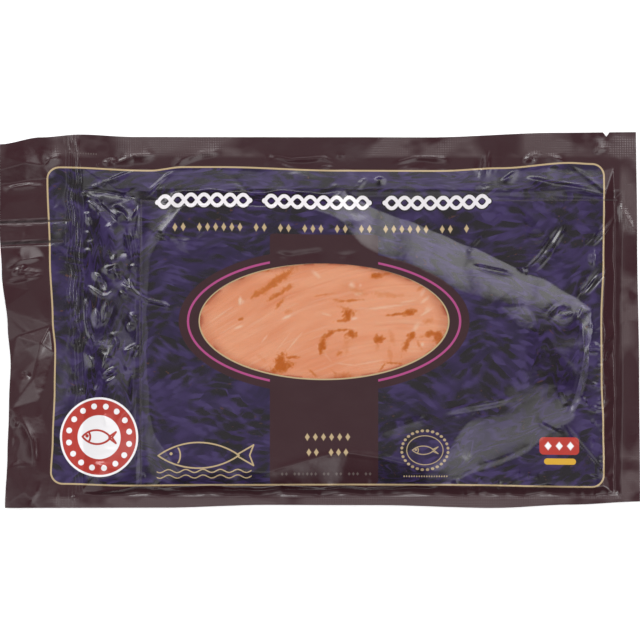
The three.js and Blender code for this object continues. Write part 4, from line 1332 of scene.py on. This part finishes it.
def slice_surface(x, y):
    fibres = (along_grain(x, y, 6, 0.8, 3) - 0.5) * fish_relief["coarse"]
    fibres += (along_grain(x, y, 3, 0.45, 4) - 0.5) * fish_relief["fine"]
    sunk = flake["depth"] * seam(x, y) + fish_relief["stain"] * smudges(stains, x, y, 0.5)
    sunk -= fish_relief["speck"] * smudges(pale_specks, x, y, 0.3)
    level = front_surface(x, y) - window_film_thickness - slice_gap
    return np.minimum(level, level - fish_relief["low"] + fibres - sunk * fish_relief["share_sunk"])


salmon_slices = sheet_solid(
    "salmon_slices", *window_grid(slice_step, slice_step), plain_point, slice_surface, slice_floor
)


def salmon_marks(mesh):
    """Keeps the fish's colours on its mesh: stains, pale marks, its grain and its shaded rim."""
    co = vertex_places(mesh)
    x, y = co[:, 0], co[:, 1]
    level = np.hypot((x - window["x"]) / window["half_length"], (y - window["y"]) / window["half_width"])
    inward = (1 - level) * window["half_width"]
    pale_grain = 0.2 * ease((along_grain(x, y, 11, 0.42, 8) - 0.7) / 0.2)
    tone = 0.5 * along_grain(x, y, 14, 2.6, 7) + 0.3 * soft_noise(x / 11, y / 8, 9)
    tone += 0.2 * along_grain(x, y, 5, 1.0, 10) + 0.25 * ease((x - 5) / 30)
    red_places = ease((soft_noise(x / 4, y / 3, 13) - 0.55) / 0.2)
    for name, values in {
        "stain": smudges(stains, x, y, 0.9),
        "pale": np.maximum(smudges(pale_specks, x, y, 0.5), pale_grain),
        "tone": tone,
        "seam": seam(x, y),
        "rim_shade": (1 - ease(inward / 2.4)) * (0.25 + 1.1 * soft_noise(x / 7, y / 6, 12)),
        "red_rim": (1 - ease(inward / 0.9)) * red_places,
    }.items():
        store_values(mesh, name, values)


flesh = {
    "deep": (0.885, 0.335, 0.17), "light": (0.97, 0.43, 0.245), "grain": (0.80, 0.36, 0.21),
    "pale": (0.98, 0.62, 0.44), "seam": (0.76, 0.23, 0.09), "stain_edge": (0.78, 0.245, 0.06),
    "stain": (0.60, 0.145, 0.018), "rim": (0.48, 0.12, 0.05), "red_rim": (0.40, 0.045, 0.02),
}


def salmon_material():
    material, tree = new_material("salmon_flesh")
    shader, gloss, place = film_shader(tree, 0.3, 0.4)
    names = ("stain", "pale", "tone", "seam", "rim_shade", "red_rim")
    marks = [Ink(tree, stored(tree, name, "Fac")) for name in names]
    stain, pale, tone, seam_line, rim_shade, red_rim = marks
    grain = noise(tree, place, (0.5, 0.32, 0.5), detail=3, roughness=0.7)
    colour = layered(tree, flesh["deep"], [
        (flesh["light"], tone.above(0.5, 0.4)), (flesh["grain"], grain.above(0.54, 0.2) * 0.35),
        (flesh["pale"], pale), (flesh["seam"], seam_line * 0.25),
        (flesh["stain_edge"], stain.above(0.3, 0.5) * 0.8), (flesh["stain"], stain.above(0.66, 0.6)),
        # Painted shade: the rim colour darkens the fish just inside the window's edge, under the print's
        # edge.
        (flesh["rim"], rim_shade * 0.5), (flesh["red_rim"], red_rim * 0.7),
    ])
    tree.links.new(colour, shader.inputs["Base Color"])
    set_sockets(shader, subsurface_weight=0.2, subsurface_scale=0.0008)
    shader.inputs["Specular IOR Level"].default_value = 0.12
    shader.inputs["Subsurface Radius"].default_value = (1.0, 0.45, 0.25)
    bump_from(tree, shader, Ink(tree, gloss.outputs["Height"]) + grain * 0.05)
    return material


cut_to_shape(salmon_slices, [(window_prism(-slice_reach_under_print), "INTERSECT")])
salmon_marks(salmon_slices.data)
finish_piece(salmon_slices, salmon_material())
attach(salmon_slices, "root")
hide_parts("salmon")


# ---- Floor and light -----------------------------------------------------------------
# A pale table under one broad soft lamp. The film's gloss shows the room: a soft light straight
# above, a dim room round it, broad soft lights on its sides, and narrow strip lights.

bm = bmesh.new()
bmesh.ops.create_grid(bm, x_segments=1, y_segments=1, size=6)
bmesh.ops.translate(bm, verts=bm.verts, vec=(0, 0, -0.0003))
floor = object_from("floor", bm)
floor_material, floor_tree = new_material("pale_table")
set_sockets(
    floor_tree.nodes["Principled BSDF"], base_color=(0.9, 0.9, 0.9, 1), roughness=0.7,
    emission_color=(1, 1, 1, 1), emission_strength=0.35,
)
floor.data.materials.append(floor_material)

# Each light's turn round the table from +X and its half spread in degrees, how far off straight
# above it starts and ends as sines, how soft its edges are, and its brightness.
lights = [
    (57, 17, 0.26, 0.80, 0.20, 3.6),
    (308, 28, 0.28, 0.80, 0.24, 2.0),
    (138, 20, 0.34, 0.80, 0.12, 1.1),
    (222, 20, 0.34, 0.80, 0.12, 1.1),
    (185, 50, 0.24, 0.40, 0.12, 1.3),
    (268, 34, 0.14, 0.30, 0.12, 1.0),
    (95, 20, 0.38, 0.72, 0.12, 1.0),
    (2, 34, 0.50, 0.86, 0.12, 0.7),
    (178, 24, 0.74, 0.88, 0.05, 3.0),
    (20, 28, 0.60, 0.66, 0.03, 7.0),
    (100, 18, 0.60, 0.66, 0.03, 7.0),
    (149, 11, 0.50, 0.74, 0.05, 8.0),
    (327, 8, 0.62, 0.80, 0.05, 6.0),
]
room_brightness = 0.16
overhead = {"reach": 0.17, "soft": 0.22, "brightness": 0.36}
fill_strength = 4.35
edge_soft_degrees = 60

world = bpy.data.worlds.new("light_studio")
world.use_nodes = True
world.cycles_visibility.diffuse = False
bpy.context.scene.world = world
studio = world.node_tree
direction = studio.nodes.new("ShaderNodeTexCoord")
direction_parts = studio.nodes.new("ShaderNodeSeparateXYZ")
studio.links.new(direction.outputs["Generated"], direction_parts.inputs[0])
to_x, to_y, to_z = (Ink(studio, part) for part in direction_parts.outputs)
off_overhead = to_x.hypot(to_y)
shine = off_overhead.below(overhead["reach"], overhead["soft"]) * overhead["brightness"] + room_brightness
for turn, spread, start, end, soft, brightness in lights:
    cos, sin = math.cos(math.radians(turn)), math.sin(math.radians(turn))
    outward = to_x * cos + to_y * sin
    sideways = to_y * cos - to_x * sin
    turned = abs(sideways.math("ARCTAN2", outward)) * math.degrees(1)
    lit = off_overhead.between(start, end, soft) * turned.below(spread, soft * edge_soft_degrees)
    shine = shine + lit * brightness
shine = shine * to_z.above(0, 0.1)
background = studio.nodes["Background"]
background.inputs["Color"].default_value = (1, 1, 1, 1)
studio.links.new(shine.socket, background.inputs["Strength"])
seen = studio.nodes.new("ShaderNodeLightPath")
backdrop = studio.nodes.new("ShaderNodeBackground")
backdrop.inputs["Color"].default_value = (0.93, 0.93, 0.93, 1)
choose = studio.nodes.new("ShaderNodeMixShader")
studio.links.new(seen.outputs["Is Camera Ray"], choose.inputs[0])
studio.links.new(background.outputs[0], choose.inputs[1])
studio.links.new(backdrop.outputs[0], choose.inputs[2])
studio.links.new(choose.outputs[0], studio.nodes["World Output"].inputs["Surface"])

fill_data = bpy.data.lights.new("fill", "SUN")
fill_data.energy = fill_strength
fill_data.angle = math.radians(120)
fill = bpy.data.objects.new("fill", fill_data)
fill.rotation_euler = (math.radians(-20), math.radians(12), 0)
fill.visible_glossy = False
bpy.context.collection.objects.link(fill)

bpy.context.scene.view_settings.view_transform = "Standard"
